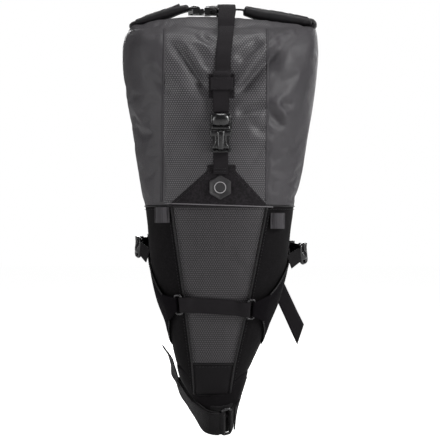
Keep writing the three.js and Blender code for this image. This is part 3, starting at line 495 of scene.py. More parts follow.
# ------------------------------------------------------------------ materials
class Mat:
    """A small builder for node materials."""

    def __init__(self, name):
        self.m = bpy.data.materials.new(name)
        self.m.use_nodes = True
        self.nt = self.m.node_tree
        self.nt.nodes.clear()
        self.out = self.nt.nodes.new("ShaderNodeOutputMaterial")
        self.bsdf = self.nt.nodes.new("ShaderNodeBsdfPrincipled")
        self.nt.links.new(self.bsdf.outputs[0], self.out.inputs[0])
        self.tc = None

    def n(self, kind, **kw):
        node = self.nt.nodes.new(kind)
        for k, v in kw.items():
            setattr(node, k, v)
        return node

    def link(self, a, b):
        self.nt.links.new(a, b)

    def val(self, x, socket):
        if hasattr(x, "is_output") or hasattr(x, "links"):
            self.link(x, socket)
        else:
            socket.default_value = x

    def math(self, op, a, b=None, c=None, clamp=False):
        m = self.n("ShaderNodeMath", operation=op, use_clamp=clamp)
        self.val(a, m.inputs[0])
        if b is not None:
            self.val(b, m.inputs[1])
        if c is not None:
            self.val(c, m.inputs[2])
        return m.outputs[0]

    def vmath(self, op, a, b=None, scale=None):
        m = self.n("ShaderNodeVectorMath", operation=op)
        self.val(a, m.inputs[0])
        if b is not None:
            self.val(b, m.inputs[1])
        if scale is not None:
            m.inputs["Scale"].default_value = scale
        return m.outputs["Value"] if op in ("LENGTH", "DOT_PRODUCT", "DISTANCE") else m.outputs[0]

    def uv(self):
        t = self.n("ShaderNodeUVMap")
        t.uv_map = "uv"
        return t.outputs[0]

    def obj(self):
        if not self.tc:
            self.tc = self.n("ShaderNodeTexCoord")
        return self.tc.outputs["Object"]

    def noise(self, vec, scale, detail=3.0, rough=0.55, distortion=0.0):
        t = self.n("ShaderNodeTexNoise")
        self.link(vec, t.inputs["Vector"])
        t.inputs["Scale"].default_value = scale
        t.inputs["Detail"].default_value = detail
        t.inputs["Roughness"].default_value = rough
        t.inputs["Distortion"].default_value = distortion
        return t.outputs["Fac"]

    def range(self, x, a, b, c, d):
        r = self.n("ShaderNodeMapRange")
        self.val(x, r.inputs[0])
        for k, v in zip((1, 2, 3, 4), (a, b, c, d)):
            r.inputs[k].default_value = v
        return r.outputs[0]

    def mix(self, f, a, b):
        m = self.n("ShaderNodeMix", data_type="RGBA")
        self.val(f, m.inputs[0])
        for x, s in ((a, m.inputs[6]), (b, m.inputs[7])):
            if isinstance(x, tuple):
                s.default_value = (*x[:3], 1)
            else:
                self.link(x, s)
        return m.outputs[2]

    def sep(self, vec):
        s = self.n("ShaderNodeSeparateXYZ")
        self.link(vec, s.inputs[0])
        return s.outputs

    def comb(self, x, y, z=0.0):
        c = self.n("ShaderNodeCombineXYZ")
        for v, s in zip((x, y, z), c.inputs):
            self.val(v, s)
        return c.outputs[0]

    def bump(self, height, strength=0.4, distance=0.0005, normal=None):
        b = self.n("ShaderNodeBump")
        b.inputs["Strength"].default_value = strength
        b.inputs["Distance"].default_value = distance
        self.link(height, b.inputs["Height"])
        if normal:
            self.link(normal, b.inputs["Normal"])
        return b.outputs[0]

    def set(self, color=None, rough=None, normal=None, sheen=None, spec=None, coat=None, metallic=None, sheen_rough=0.5):
        i = self.bsdf.inputs
        for v, key in ((color, "Base Color"), (rough, "Roughness"), (normal, "Normal"), (metallic, "Metallic")):
            if v is None:
                continue
            if isinstance(v, tuple):
                i[key].default_value = (*v[:3], 1)
            else:
                self.val(v, i[key])
        if sheen is not None:
            i["Sheen Weight"].default_value = sheen
            i["Sheen Roughness"].default_value = sheen_rough
        if spec is not None:
            i["Specular IOR Level"].default_value = spec
        if coat is not None:
            i["Coat Weight"].default_value = coat
            i["Coat Roughness"].default_value = 0.25
        return self.m


def lin(*srgb):
    return tuple((c / 255 / 12.92 if c / 255 <= 0.04045 else ((c / 255 + 0.055) / 1.055) ** 2.4) for c in srgb)


def hex_cells(M, uv, size):
    """Distance to the edge of a hexagonal cell (0 at the line, about 0.5 at the centre) for a grid of cell pitch `size` metres."""
    p = M.vmath("SCALE", uv, scale=1 / size)
    s = (1.0, 1.7320508, 1.0)

    def local(vec):
        w = M.vmath("MODULO", M.vmath("ADD", vec, (1000.0 * s[0], 1000.0 * s[1], 0.0)), (s[0], s[1], 1.0))
        return M.vmath("SUBTRACT", w, (s[0] / 2, s[1] / 2, 0.0))

    a = local(p)
    b = local(M.vmath("SUBTRACT", p, (s[0] / 2, s[1] / 2, 0.0)))
    la, lb = M.vmath("LENGTH", a), M.vmath("LENGTH", b)
    pick = M.math("LESS_THAN", la, lb)
    mixv = M.n("ShaderNodeMix", data_type="VECTOR")
    M.link(pick, mixv.inputs[0])
    M.link(b, mixv.inputs[4])
    M.link(a, mixv.inputs[5])
    g = M.vmath("ABSOLUTE", mixv.outputs[1])
    d = M.math("MAXIMUM", M.vmath("DOT_PRODUCT", g, (0.5, 0.8660254, 0.0)), M.sep(g)[0])
    return M.math("SUBTRACT", 0.5, d)


def fabric_hex(name, cell, line, size=0.0032, rough=0.5, grain=1.0, sheen=0.15, line_w=0.12):
    """Coated nylon with a fine honeycomb printed and woven into it."""
    M = Mat(name)
    uv = M.uv()
    edge = hex_cells(M, uv, size)
    mask = M.range(edge, line_w * 0.45, line_w * 1.35, 1.0, 0.0)
    cloud = M.noise(M.obj(), 14.0, 4.0, 0.6)
    fine = M.noise(M.vmath("MULTIPLY", uv, (5200.0, 5200.0, 1.0)), 1.0, 2.0)
    base = M.mix(M.range(cloud, 0.3, 0.75, 0.0, 1.0), tuple(c * 0.9 for c in cell), tuple(c * 1.1 for c in cell))
    base = M.mix(M.range(fine, 0.35, 0.65, 0.0, 0.22), base, tuple(c * 1.7 for c in cell))
    col = M.mix(mask, base, line)
    h = M.math("ADD", M.math("MULTIPLY", mask, 0.6), M.math("MULTIPLY", fine, 0.35 * grain))
    r = M.math("ADD", M.range(cloud, 0.3, 0.7, rough - 0.05, rough + 0.06), M.math("MULTIPLY", mask, 0.08))
    return M.set(col, r, M.bump(h, 0.45, 0.00035), sheen=sheen, spec=0.45)


def fabric_plain(name, color, rough=0.5, weave=0.00055, sheen=0.1, spec=0.45, mottling=0.12, strength=0.35, streak=0.0):
    """Coated plain-weave cloth: very fine threads both ways, with soft colour variation."""
    M = Mat(name)
    uv = M.uv()
    x, y, _ = M.sep(uv)
    k = 2 * math.pi / weave
    wa = M.math("SINE", M.math("MULTIPLY", x, k))
    wb = M.math("SINE", M.math("MULTIPLY", y, k))
    thread = M.math("MULTIPLY", wa, wb)
    cloud = M.noise(M.obj(), 11.0, 5.0, 0.62)
    grit = M.noise(M.obj(), 1300.0, 2.0)
    c = M.mix(M.range(cloud, 0.3, 0.7, 0.0, 1.0), tuple(q * (1 - mottling) for q in color), tuple(q * (1 + mottling) for q in color))
    c = M.mix(M.range(grit, 0.4, 0.7, 0.0, 0.25), c, tuple(q * 1.6 for q in color))
    h = M.math("ADD", M.math("MULTIPLY", thread, 0.35), M.math("MULTIPLY", grit, 0.5))
    r = M.range(cloud, 0.3, 0.7, rough - 0.06, rough + 0.06)
    return M.set(c, r, M.bump(h, strength, 0.00025), sheen=sheen, spec=spec)


def webbing_mat(name, color, rough=0.75, ribs=0.0013, sheen=0.25, edge=True, herringbone=True):
    """Flat nylon webbing: ribs across with painted shade in their hollows and painted light on their crests, a
    herringbone down the width, and darker selvedges.
    """
    M = Mat(name)
    uv = M.uv()
    x, y, _ = M.sep(uv)
    ax = M.math("ABSOLUTE", x)
    # the ribs lean one way on one half of the tape and the other way on the other half
    tri = M.math("PINGPONG", x, 0.0022)
    yy = M.math("ADD", y, M.math("MULTIPLY", tri, 0.9)) if herringbone else y
    rib = M.math("SINE", M.math("MULTIPLY", yy, 2 * math.pi / ribs))
    yarn = M.math("SINE", M.math("MULTIPLY", x, 2 * math.pi / 0.0011))
    h = M.math("ADD", M.math("MULTIPLY", rib, 0.5), M.math("MULTIPLY", yarn, 0.3))
    grit = M.noise(M.obj(), 1600.0, 2.0)
    h = M.math("ADD", h, M.math("MULTIPLY", grit, 0.35))
    # the colour follows the ribs: painted shade in the hollows between them and painted light on their crests
    lit = M.range(rib, -1.0, 1.0, 0.0, 1.0)
    c = M.mix(lit, tuple(q * 0.72 for q in color), tuple(q * 1.22 for q in color))
    cloud = M.noise(M.obj(), 30.0, 3.0)
    c = M.mix(M.range(cloud, 0.35, 0.7, 0.0, 0.3), c, tuple(q * 1.35 for q in color))
    if edge:
        c = M.mix(M.range(ax, 0.0086, 0.0097, 0.0, 0.55), c, tuple(q * 0.5 for q in color))
    return M.set(c, rough, M.bump(h, 0.55, 0.00035), sheen=sheen, spec=0.18)


def felt_mat(name, color, scale=260.0, contrast=0.5, rough=0.9, sheen=0.35, bump=0.5, spec=0.2):
    M = Mat(name)
    o = M.obj()
    a = M.noise(o, scale, 5.0, 0.65, 0.6)
    b = M.noise(o, scale * 0.16, 4.0, 0.6, 0.8)
    fibre = M.noise(M.vmath("MULTIPLY", o, (1.0, 1.0, 0.35)), scale * 5, 2.0, 0.6)
    c = M.mix(M.range(a, 0.38, 0.66, 0.0, 1.0), tuple(q * (1 - contrast) for q in color), tuple(q * (1 + contrast) for q in color))
    c = M.mix(M.range(b, 0.4, 0.65, 0.0, 0.45), c, tuple(q * 0.55 for q in color))
    h = M.math("ADD", a, M.math("MULTIPLY", fibre, 0.5))
    return M.set(c, rough, M.bump(h, bump, 0.0006), sheen=sheen, spec=spec)


def plastic_mat(name, color, rough=0.32, spec=0.5, scuff=0.4):
    M = Mat(name)
    o = M.obj()
    g = M.noise(o, 2400.0, 2.0)
    wear = M.noise(o, 160.0, 6.0, 0.7)
    geo = M.n("ShaderNodeNewGeometry")
    point = M.range(geo.outputs["Pointiness"], 0.52, 0.6, 0.0, 1.0)
    c = M.mix(M.math("MULTIPLY", point, scuff), color, tuple(min(1, q * 2.0 + 0.002) for q in color))
    r = M.math("ADD", M.range(wear, 0.35, 0.7, rough - 0.05, rough + 0.12), M.math("MULTIPLY", point, 0.1))
    return M.set(c, r, M.bump(g, 0.12, 0.0001), spec=spec, coat=0.05)


GREY_HEX = fabric_hex("grey_ripstop", lin(83, 81, 84), lin(24, 22, 25), rough=0.44, sheen=0.03, line_w=0.18)
GREY_PLAIN = fabric_plain("grey_coated", lin(55, 53, 56), rough=0.42, sheen=0.02, spec=0.36)
GREY_HEX_FINE = fabric_hex("roll_ripstop", lin(74, 72, 76), lin(34, 32, 36), rough=0.46, sheen=0.05, line_w=0.15)
SEAM_TAPE = fabric_plain("seam_tape", lin(53, 51, 54), rough=0.5, sheen=0.02, spec=0.3)
DARK_HEX = fabric_hex("dark_ripstop", lin(59, 56, 59), lin(12, 10, 12), size=0.0032, rough=0.5, sheen=0.04, line_w=0.17)
BLACK = fabric_plain("black_coated", lin(14, 12, 14), rough=0.72, sheen=0.01, spec=0.09, mottling=0.3)
WING = fabric_plain("wing_cloth", lin(13, 11, 14), rough=0.8, sheen=0.0, spec=0.05, mottling=0.35)
BLACK_SUEDE = felt_mat("black_side_cloth", lin(13, 11, 13), scale=420.0, contrast=0.45, rough=0.8, sheen=0.02, bump=0.35, spec=0.12)
NOSE_BLACK = fabric_plain("nose_coated", lin(16, 14, 16), rough=0.5, sheen=0.01, spec=0.12, mottling=0.2)
ROLL_BLACK = fabric_plain("roll_end_coated", lin(15, 13, 16), rough=0.4, sheen=0.02, spec=0.4, mottling=0.3)
WEB = webbing_mat("webbing", lin(25, 22, 25), sheen=0.03)
WEB_DARK = webbing_mat("webbing_dark", lin(19, 16, 19), sheen=0.02)
WEB_BLACK = webbing_mat("webbing_black", lin(13, 11, 13), sheen=0.0)
LOOP_WEB = webbing_mat("loop_webbing", lin(60, 58, 61), rough=0.7, ribs=0.0018, herringbone=False, sheen=0.1)
HOOK = felt_mat("hook_loop", lin(22, 20, 22), scale=900.0, contrast=0.5, rough=0.92, sheen=0.1, bump=0.9, spec=0.15)
YOKE = felt_mat("yoke_suede", lin(30, 27, 30), scale=300.0, contrast=0.6, sheen=0.1, spec=0.15)
PLASTIC = plastic_mat("buckle_plastic", lin(9, 8, 10), rough=0.21, spec=0.7, scuff=0.15)
RING_MAT = plastic_mat("ring_plastic", lin(20, 18, 21), rough=0.22, spec=0.7)
THREAD = fabric_plain("thread", lin(19, 17, 20), rough=0.6, weave=0.0004, spec=0.25)
PIPING = fabric_plain("piping_cloth", lin(12, 10, 12), rough=0.45, sheen=0.03, spec=0.3)
PIPING_LIGHT = fabric_plain("piping_light", lin(96, 93, 96), rough=0.45, sheen=0.1)
PIPING_MID = fabric_plain("piping_mid", lin(46, 44, 46), rough=0.4, sheen=0.05)
PATCH = plastic_mat("emblem_rubber", lin(34, 32, 34), rough=0.5, scuff=0.2)
PATCH_MARK = plastic_mat("emblem_mark", lin(158, 156, 158), rough=0.45, scuff=0.0)
FOAM = felt_mat("foam", lin(20, 19, 21), scale=1500.0, contrast=0.3, rough=0.95, sheen=0.05, bump=0.7, spec=0.1)
LINER = fabric_plain("liner_cloth", lin(150, 152, 156), rough=0.45)

# ------------------------------------------------------------------ creases of the upper body
# Each crease is a line in (x, z) mm on the front face with a signed depth, a width and how it fades at its ends.
CREASES = [
    # right side: broad folds running from the strap up to the right shoulder
    ([(31, 398), (52, 420), (74, 444), (92, 462)], -4.6, 8.0),
    ([(34, 425), (56, 447), (78, 466), (100, 484)], 3.0, 7.0),
    ([(30, 444), (48, 458), (66, 474)], -3.6, 6.0),
    ([(30, 410), (50, 432)], 2.0, 6.0),
    ([(30, 376), (52, 381), (70, 386)], -3.2, 6.5),
    ([(36, 366), (60, 372), (84, 392), (96, 410)], 2.2, 7.0),
    # right side: star wrinkle
    ([(62, 389), (74, 377), (88, 364), (96, 357)], -3.0, 6.0),
    ([(80, 394), (88, 381), (98, 366)], 1.6, 5.0),
    ([(86, 391), (96, 389), (106, 390)], -2.2, 5.0),
    ([(46, 372), (56, 360), (70, 352)], -1.4, 5.0),
    ([(40, 352), (62, 342), (88, 338)], 1.4, 8.0),
    # right shoulder: the corner fold
    ([(92, 330), (97, 400), (101, 452), (104, 480)], 1.5, 10.0),
    ([(78, 420), (82, 446), (86, 470)], -1.0, 8.0),
    ([(84, 464), (98, 472), (110, 478)], -1.4, 7.0),
    ([(88, 476), (100, 482), (112, 485)], 1.2, 5.0),
    # left side: the long fold from the left shoulder down to the keeper
    ([(-4, 402), (-14, 414), (-28, 436), (-42, 456), (-58, 472)], -4.6, 7.0),
    ([(-10, 424), (-24, 448), (-38, 466)], 2.6, 6.0),
    ([(1, 464), (-8, 474), (-20, 484)], -3.4, 5.0),
    ([(3, 448), (-4, 462), (-10, 474)], 2.4, 4.0),
    ([(-20, 392), (-38, 408), (-62, 432), (-86, 452)], 2.2, 9.0),
    ([(-46, 398), (-70, 420), (-94, 440)], -1.6, 9.0),
    ([(-66, 498), (-50, 494), (-30, 490), (-14, 484)], 2.2, 4.0),
    # faint drape lower down
    ([(-8, 372), (-30, 356), (-56, 334)], -1.2, 9.0),
    ([(-70, 300), (-76, 340), (-84, 392)], 1.0, 8.0),
    ([(90, 290), (94, 330), (100, 352)], -1.2, 8.0),
]


def line_distance(px, pz, pts):
    """Distance to a polyline and the share of its length at the nearest point."""
    pts = np.asarray(pts, float)
    seg = np.linalg.norm(np.diff(pts, axis=0), axis=1)
    cum = np.concatenate([[0], np.cumsum(seg)])
    best = np.full(px.shape, 1e9)
    share = np.zeros(px.shape)
    for i in range(len(seg)):
        d = pts[i + 1] - pts[i]
        t = np.clip(((px - pts[i, 0]) * d[0] + (pz - pts[i, 1]) * d[1]) / (seg[i] ** 2), 0, 1)
        dist = np.hypot(px - pts[i, 0] - t * d[0], pz - pts[i, 1] - t * d[1])
        near = dist < best
        best = np.where(near, dist, best)
        share = np.where(near, (cum[i] + t * seg[i]) / cum[-1], share)
    return best, share


def crease_height(x, z):
    h = np.zeros(np.shape(x))
    for pts, depth, width in CREASES:
        smoothed = spline(pts, 14) if len(pts) > 2 else np.asarray(pts, float)
        d, s = line_distance(x, z, smoothed)
        fade = smooth(0, 0.22, s) * smooth(1, 0.7, s) * 0.85 + 0.15
        h += 1.7 * depth * fade * np.exp(-((d / width) ** 2))
    return h


SEAM_XL, SEAM_XR = -62.0, 72.5  # side seams of the ripstop front panel


def body_detail(P, N, phi, z):
    """Moves points of the upper body along their normals: folds, hollows beside the strap, and slack cloth."""
    x = P[..., 0]
    s = np.sin(phi)
    frontness = smooth(0.15, -0.35, s)
    backness = smooth(-0.15, 0.4, s)
    h = crease_height(x, P[..., 2]) * frontness
    # the strap draws the cloth in along its line, more where it is tight over the fattest part
    strap = np.exp(-(((x - 14.0) / 16.0) ** 2)) * smooth(385, 430, z) * frontness
    h -= 2.2 * strap
    # hollow behind the keeper and the buckle
    h -= 1.6 * np.exp(-(((x - 12) / 20) ** 2) - (((z - 400) / 26) ** 2)) * frontness
    # the back is slacker: a few broad folds
    h += backness * (2.2 * value_noise(P * [1, 0.3, 0.45], 34, 3) - 1.2 * np.exp(-(((x - 14.5) / 14.0) ** 2)))
    # the sides dent a little, as filled cloth does
    side = smooth(0.75, 0.98, np.abs(np.cos(phi)))
    h += side * 0.9 * value_noise(P * [1, 1, 0.6], 30, 5)
    # the flanks hang a little slack between the seams and the edge
    h += 1.1 * value_noise(P * [1, 0.6, 0.55], 24, 15) * frontness * smooth(66, 84, np.abs(x - 5))
    # all over, a faint uneven surface
    h += 0.55 * value_noise(P, 22, 1) + 0.25 * value_noise(P, 9, 2)
    # side seams pull in slightly
    for sx in (SEAM_XL, SEAM_XR):
        h -= 0.6 * np.exp(-(((x - sx) / 2.2) ** 2)) * frontness
        h += 0.5 * np.exp(-(((x - sx + 3.0 * np.sign(sx)) / 2.2) ** 2)) * frontness
    hold = smooth(SEAM_Z, SEAM_Z + 14, z) * smooth(496, 486, z)
    return h * hold


# ------------------------------------------------------------------ upper body
ROLL_KEYS = np.array([[-107, 492], [-95, 493], [-75, 497], [-45, 501.2], [-15, 503], [15, 503], [45, 499.4], [75, 494.4], [104, 490.4], [113, 490.6], [124, 491.6], [134, 493]], float)


def roll_z(x):
    return _pchip(ROLL_KEYS[:, 0], ROLL_KEYS[:, 1], np.clip(x, -107, 134))


def upper_body():
    nu = 200
    zs = np.concatenate([np.linspace(SEAM_Z + 0.4, 470, 74), np.linspace(472.4, 490, 9)])
    phi = np.linspace(0, 2 * math.pi, nu, endpoint=False) - math.pi / 2
    PH, Z = np.meshgrid(phi, zs, indexing="ij")
    P, N = on_bag(PH, Z), bag_normal(PH, Z)
    P = P + N * body_detail(P, N, PH, Z)[..., None]
    # the left shoulder rounds over towards the rolled end
    P[..., 0] += 5.5 * smooth(458, 492, P[..., 2]) ** 1.6 * smooth(-70, -112, P[..., 0])
    # the mouth: cloth gathers flat and runs up into the roll, which sits on it
    last = P[:, -1]
    c, s = np.cos(phi), np.sin(phi)
    tx = 10.5 + np.sign(c) * np.abs(c) ** 0.8 * np.where(c > 0, 123, 113)
    rz = roll_z(tx)
    ty = -8 + 15.0 * np.sign(s) * np.abs(s) ** 0.45
    rows = []
    for k, q in enumerate(np.linspace(0.12, 1, 11)):
        target = np.stack([tx, ty, rz + 3.5], -1)
        p = last + (target - last) * q
        p[:, 2] += 7.0 * np.sin(q * math.pi) * (0.35 + 0.65 * np.abs(s)) * smooth(0.98, 0.7, np.abs(c))
        p[:, 2] += 4.2 * np.sin(q * math.pi) * smooth(0.8, 0.99, -c)
        pleat = value_noise(np.stack([last[:, 0], last[:, 1] * 0, last[:, 0] * 0 + 3], -1), 7, 9)
        p[:, 2] += 1.1 * pleat * math.sin(q * math.pi)
        rows.append(p)
    P = np.concatenate([P, np.stack(rows, 1)], 1)
    nj = P.shape[1]
    # uv: u is the distance round the section at the fattest height, so the honeycomb keeps its scale
    ref = on_bag(np.concatenate([phi, [phi[0] + 2 * math.pi]]), np.full(nu + 1, 380.0))
    u = np.concatenate([[0], np.cumsum(np.linalg.norm(np.diff(ref, axis=0), axis=1))])
    v = np.concatenate([[0], np.cumsum(np.linalg.norm(np.diff(P[0], axis=0), axis=1))])
    verts = P.reshape(-1, 3)
    faces = grid_faces(nu, nj, True)
    ob = new_object("upper_body_cloth", verts, faces, None, GREY_HEX)
    me = ob.data
    me.materials.append(GREY_PLAIN)
    # per-corner uv and material: ripstop between the two seams on the front, plain elsewhere
    layer = me.uv_layers.new(name="uv")
    uvs = np.zeros((len(me.loops), 2), np.float32)
    mats = np.zeros(len(me.polygons), np.int32)
    for p in me.polygons:
        i0, j0 = divmod(min(p.vertices), nj)
        ii = [v_ // nj for v_ in p.vertices]
        wrap = (0 in ii) and (nu - 1 in ii)
        for li, v_ in zip(p.loop_indices, p.vertices):
            i, j = divmod(v_, nj)
            uvs[li] = ((u[nu] if (wrap and i == 0) else u[i]) * MM, v[j] * MM)
        cen = p.center
        if not (cen.y < -0.012 and SEAM_XL * MM < cen.x < SEAM_XR * MM):
            mats[p.index] = 1
    layer.data.foreach_set("uv", uvs.ravel())
    me.polygons.foreach_set("material_index", mats)
    me.update()
    return ob, nj


def settle_cloth(ob, pin, pressure=3.5, frames=18, cap=4.0, shrink=-0.012):
    """Cloth under light pressure with a little spare length, pinned where it is sewn or strapped; then the move is capped."""
    rest = np.zeros(len(ob.data.vertices) * 3, np.float32)
    ob.data.vertices.foreach_get("co", rest)
    g = ob.vertex_groups.new(name="pin")
    for w in np.unique(np.round(pin, 2)):
        if w > 0:
            g.add([int(i) for i in np.nonzero(np.abs(np.round(pin, 2) - w) < 1e-6)[0]], float(w), "REPLACE")
    mod = ob.modifiers.new("cloth", "CLOTH")
    st = mod.settings
    st.quality = 6
    st.mass = 0.25
    st.tension_stiffness = st.compression_stiffness = 30
    st.shear_stiffness = 20
    st.bending_stiffness = 1.2
    st.vertex_group_mass = "pin"
    st.pin_stiffness = 1.0
    st.use_pressure = True
    st.uniform_pressure_force = pressure
    st.shrink_min = shrink
    st.effector_weights.gravity = 0.0
    mod.collision_settings.use_collision = False
    mod.collision_settings.use_self_collision = False
    scene = bpy.context.scene
    mod.point_cache.frame_start, mod.point_cache.frame_end = 1, frames
    for f in range(1, frames + 1):
        scene.frame_set(f)
    dg = bpy.context.evaluated_depsgraph_get()
    ev = ob.evaluated_get(dg).to_mesh()
    got = np.zeros(len(ev.vertices) * 3, np.float32)
    ev.vertices.foreach_get("co", got)
    ob.evaluated_get(dg).to_mesh_clear()
    ob.modifiers.remove(mod)
    ob.vertex_groups.remove(g)
    scene.frame_set(1)
    a, b = rest.reshape(-1, 3), got.reshape(-1, 3)
    if not np.isfinite(b).all():
        return 0.0
    d = b - a
    l = np.linalg.norm(d, axis=1, keepdims=True)
    c = cap * MM
    d = d * np.minimum(1, c / np.maximum(l, 1e-9))
    ob.data.vertices.foreach_set("co", (a + d).astype(np.float32).ravel())
    ob.data.update()
    return float(l.max())


body, body_nj = upper_body()
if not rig.quick():
    co = np.array([v.co for v in body.data.vertices]) / MM
    idx = np.arange(len(co)) % body_nj
    pin = np.zeros(len(co))
    pin = np.maximum(pin, smooth(4, 0, idx))
    pin = np.maximum(pin, smooth(body_nj - 13, body_nj - 8, idx))
    near_strap = (np.abs(co[:, 0] - 13.5) < 12) & (co[:, 1] < -20) & (co[:, 2] > 384)
    near_back = (np.abs(co[:, 0] - 14.5) < 10) & (co[:, 1] > 20)
    yoke_zone = (co[:, 1] < -20) & (co[:, 2] < 312) & (np.abs(co[:, 0] - 11) < 64)
    pin = np.where(near_strap | near_back | yoke_zone, 1.0, pin)
    moved = settle_cloth(body, pin)
    print("upper body settled by", round(moved * 1000, 2), "mm")
sub = body.modifiers.new("solid", "SOLIDIFY")
sub.thickness, sub.offset = 0.9 * MM, -1
sub2 = body.modifiers.new("fine", "SUBSURF")
sub2.levels = sub2.render_levels = 1
apply_modifiers(body)
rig.replaces(body, "upper_body")
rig.slot(body, "grey_ripstop")
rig.blend(body, "bag", "roll", start=(0, 0, 0.430), end=(0, 0, 0.492))


# ------------------------------------------------------------------ placing things on the finished cloth
from mathutils.bvhtree import BVHTree


def tree_of(ob):
    return BVHTree.FromPolygons([tuple(v.co) for v in ob.data.vertices], [tuple(p.vertices) for p in ob.data.polygons])


BODY_TREE = tree_of(body)


def cast(x, z, side=-1, tree=None):
    """Point (mm) and outward normal where a line along Y meets the cloth, from the front (-1) or the back (1)."""
    o = Vector((x * MM, side * 0.4, z * MM))
    hit = (tree or BODY_TREE).ray_cast(o, Vector((0, -side, 0)))
    if hit[0] is None:
        return None, None
    n = np.array(hit[1])
    if n[1] * side < 0:
        n = -n
    return np.array(hit[0]) / MM, n


def cloth_y(x, z, side=-1, width=0.0):
    """The proudest y of the cloth across a strip of that width, so a flat strap there lies on it."""
    ys = []
    for d in ((0,) if not width else np.linspace(-0.5, 0.5, 5) * width):
        p, _ = cast(x + d, z, side)
        if p is not None:
            ys.append(p[1])
    return (min(ys) if side < 0 else max(ys)) if ys else None


def front_grid(x0, x1, z0, z1, ni, nj, off, edges=None):
    """Grid of points on the bag's front (or on the cloth where it is upper body), lifted by off."""
    P, N = np.zeros((ni, nj, 3)), np.zeros((ni, nj, 3))
    for j, z in enumerate(np.linspace(z0, z1, nj)):
        a, b = edges(z) if edges else (x0, x1)
        for i, x in enumerate(np.linspace(a, b, ni)):
            p = front(np.array(x), np.array(z))
            n = bag_normal(phi_at_x(np.array(x), np.array(z)), np.array(z))
            if z > SEAM_Z + 1:
                c, _ = cast(x, z)
                if c is not None:
                    p = c
            P[i, j], N[i, j] = p + n * off, n
    return P, N


def ride(ob, body_name, *nodes, slot=None):
    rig.ride(ob, body_name)
    if nodes:
        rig.replaces(ob, *nodes)
    if slot:
        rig.slot(ob, slot)
    return ob


# ------------------------------------------------------------------ lower panels
def panel(name, mat, p0, p1, z0, z1, ni, nj, node, slot, crown=1.2, seed=1, hem=0.5, rough=0.5, extra=None):
    zs = np.linspace(z0, z1, nj)
    q = np.linspace(0, 1, ni)
    a, b = np.array([p0(z) for z in zs], float), np.array([p1(z) for z in zs], float)
    PH = a[None] + (b - a)[None] * q[:, None]
    Z = np.broadcast_to(zs, PH.shape)
    P, N = on_bag(PH, Z), bag_normal(PH, Z)
    bow = 1 - (2 * q[:, None] - 1) ** 2
    ends = smooth(0, 0.06, (Z - z0) / (z1 - z0)) * smooth(1, 0.94, (Z - z0) / (z1 - z0))
    lift = crown * bow * ends + rough * value_noise(P, 20, seed) * ends * smooth(0, 0.1, bow) + rough * 0.45 * value_noise(P, 8, seed + 3) * ends * smooth(0, 0.1, bow)
    # rolled hem along each edge
    width = np.linalg.norm(P[-1] - P[0], axis=-1)[None]
    d = np.minimum(q[:, None], 1 - q[:, None]) * width * 1.15
    lift = lift + hem * np.exp(-((d / 2.6) ** 2)) - hem * 0.7 * np.exp(-(((d - 4.2) / 1.3) ** 2))
    if extra is not None:
        lift = lift + extra(P, Z)
    P = P + N * (lift - 1.6)[..., None]
    du = np.concatenate([[0], np.cumsum(np.linalg.norm(np.diff(P[:, nj // 2], axis=0), axis=1))])
    x = P[..., 0]
    uv = np.stack([x * 1.05 if abs(P[ni // 2, nj // 2, 1]) > 20 and node != "side" else x, np.broadcast_to(zs, x.shape)], -1)
    if "side" in name:
        uv = np.stack([P[..., 1], np.broadcast_to(zs, x.shape)], -1)
    ob = slab(name, P, N, 1.6, mat, uv=uv)
    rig.ride(ob, "bag")
    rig.replaces(ob, node)
    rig.slot(ob, slot)
    return ob


def gp(z, mm=0.3):
    return mm / prof(z)[0]


def fR(z):
    return float(phi_at_x(edge_x(z, 1), z, -1))


def fL(z):
    return float(phi_at_x(edge_x(z, -1), z, -1))


def bR(z):
    p = prof(z)
    return float(phi_at_x(p[1] + 0.62 * p[0], z, 1))


def bL(z):
    p = prof(z)
    return float(phi_at_x(p[1] - 0.62 * p[0], z, 1))


def hex_folds(P, Z):
    x, z = P[..., 0], Z
    h = np.zeros(x.shape)
    for pts, depth, width in (
        ([(50, 168), (34, 182), (14, 192)], -1.3, 7),
        ([(48, 178), (30, 196)], 0.9, 5),
        ([(-30, 150), (-14, 166), (2, 174)], -0.8, 7),
        ([(-28, 96), (-4, 86), (16, 80)], -0.7, 6),
        ([(26, 66), (16, 84), (10, 100)], 0.6, 6),
    ):
        d, s = line_distance(x, z, pts)
        h += depth * np.exp(-((d / width) ** 2)) * smooth(0, 0.25, s) * smooth(1, 0.75, s)
    # the bridge strap presses in
    d = np.abs(z - (125 - (x - 4) * 0.066)) 
    h -= 1.2 * np.exp(-((d / 12) ** 2))
    return h


front_p = panel("front_panel_cloth", DARK_HEX, lambda z: fL(z) + gp(z), lambda z: fR(z) - gp(z), 47.4, SEAM_Z - 0.3, 40, 90, "front_panel", "dark_ripstop", crown=1.6, seed=4, hem=0.5, rough=0.45, extra=hex_folds)
panel("nose_panel_cloth", NOSE_BLACK, lambda z: fL(z) + gp(z), lambda z: fR(z) - gp(z), 5.4, 46.8, 24, 20, "nose_panel", "black_coated", crown=1.2, seed=5, rough=0.5)


def side_folds(P, Z):
    # soft lengthwise folds where the cloth is drawn towards the rings
    h = 0.8 * value_noise(P * [0.6, 0.6, 0.22], 13, 11) * smooth(20, 60, Z) * smooth(256, 236, Z)
    return h


side_r = panel("side_panel_right_cloth", BLACK_SUEDE, lambda z: fR(z) + gp(z), lambda z: bR(z) - gp(z), 5.4, SEAM_Z - 0.3, 44, 70, "side_panel_right", "black_coated", crown=0.4, seed=6, rough=0.5, extra=side_folds)
side_l = panel("side_panel_left_cloth", BLACK_SUEDE, lambda z: bL(z) + gp(z), lambda z: 2 * math.pi + fL(z) - gp(z), 5.4, SEAM_Z - 0.3, 44, 70, "side_panel_left", "black_coated", crown=0.4, seed=7, rough=0.5, extra=side_folds)
panel("back_panel_cloth", BLACK, lambda z: bR(z) + gp(z), lambda z: bL(z) - gp(z), 5.4, SEAM_Z - 0.3, 44, 70, "back_panel", "black_coated", crown=0.6, seed=8, rough=0.5)

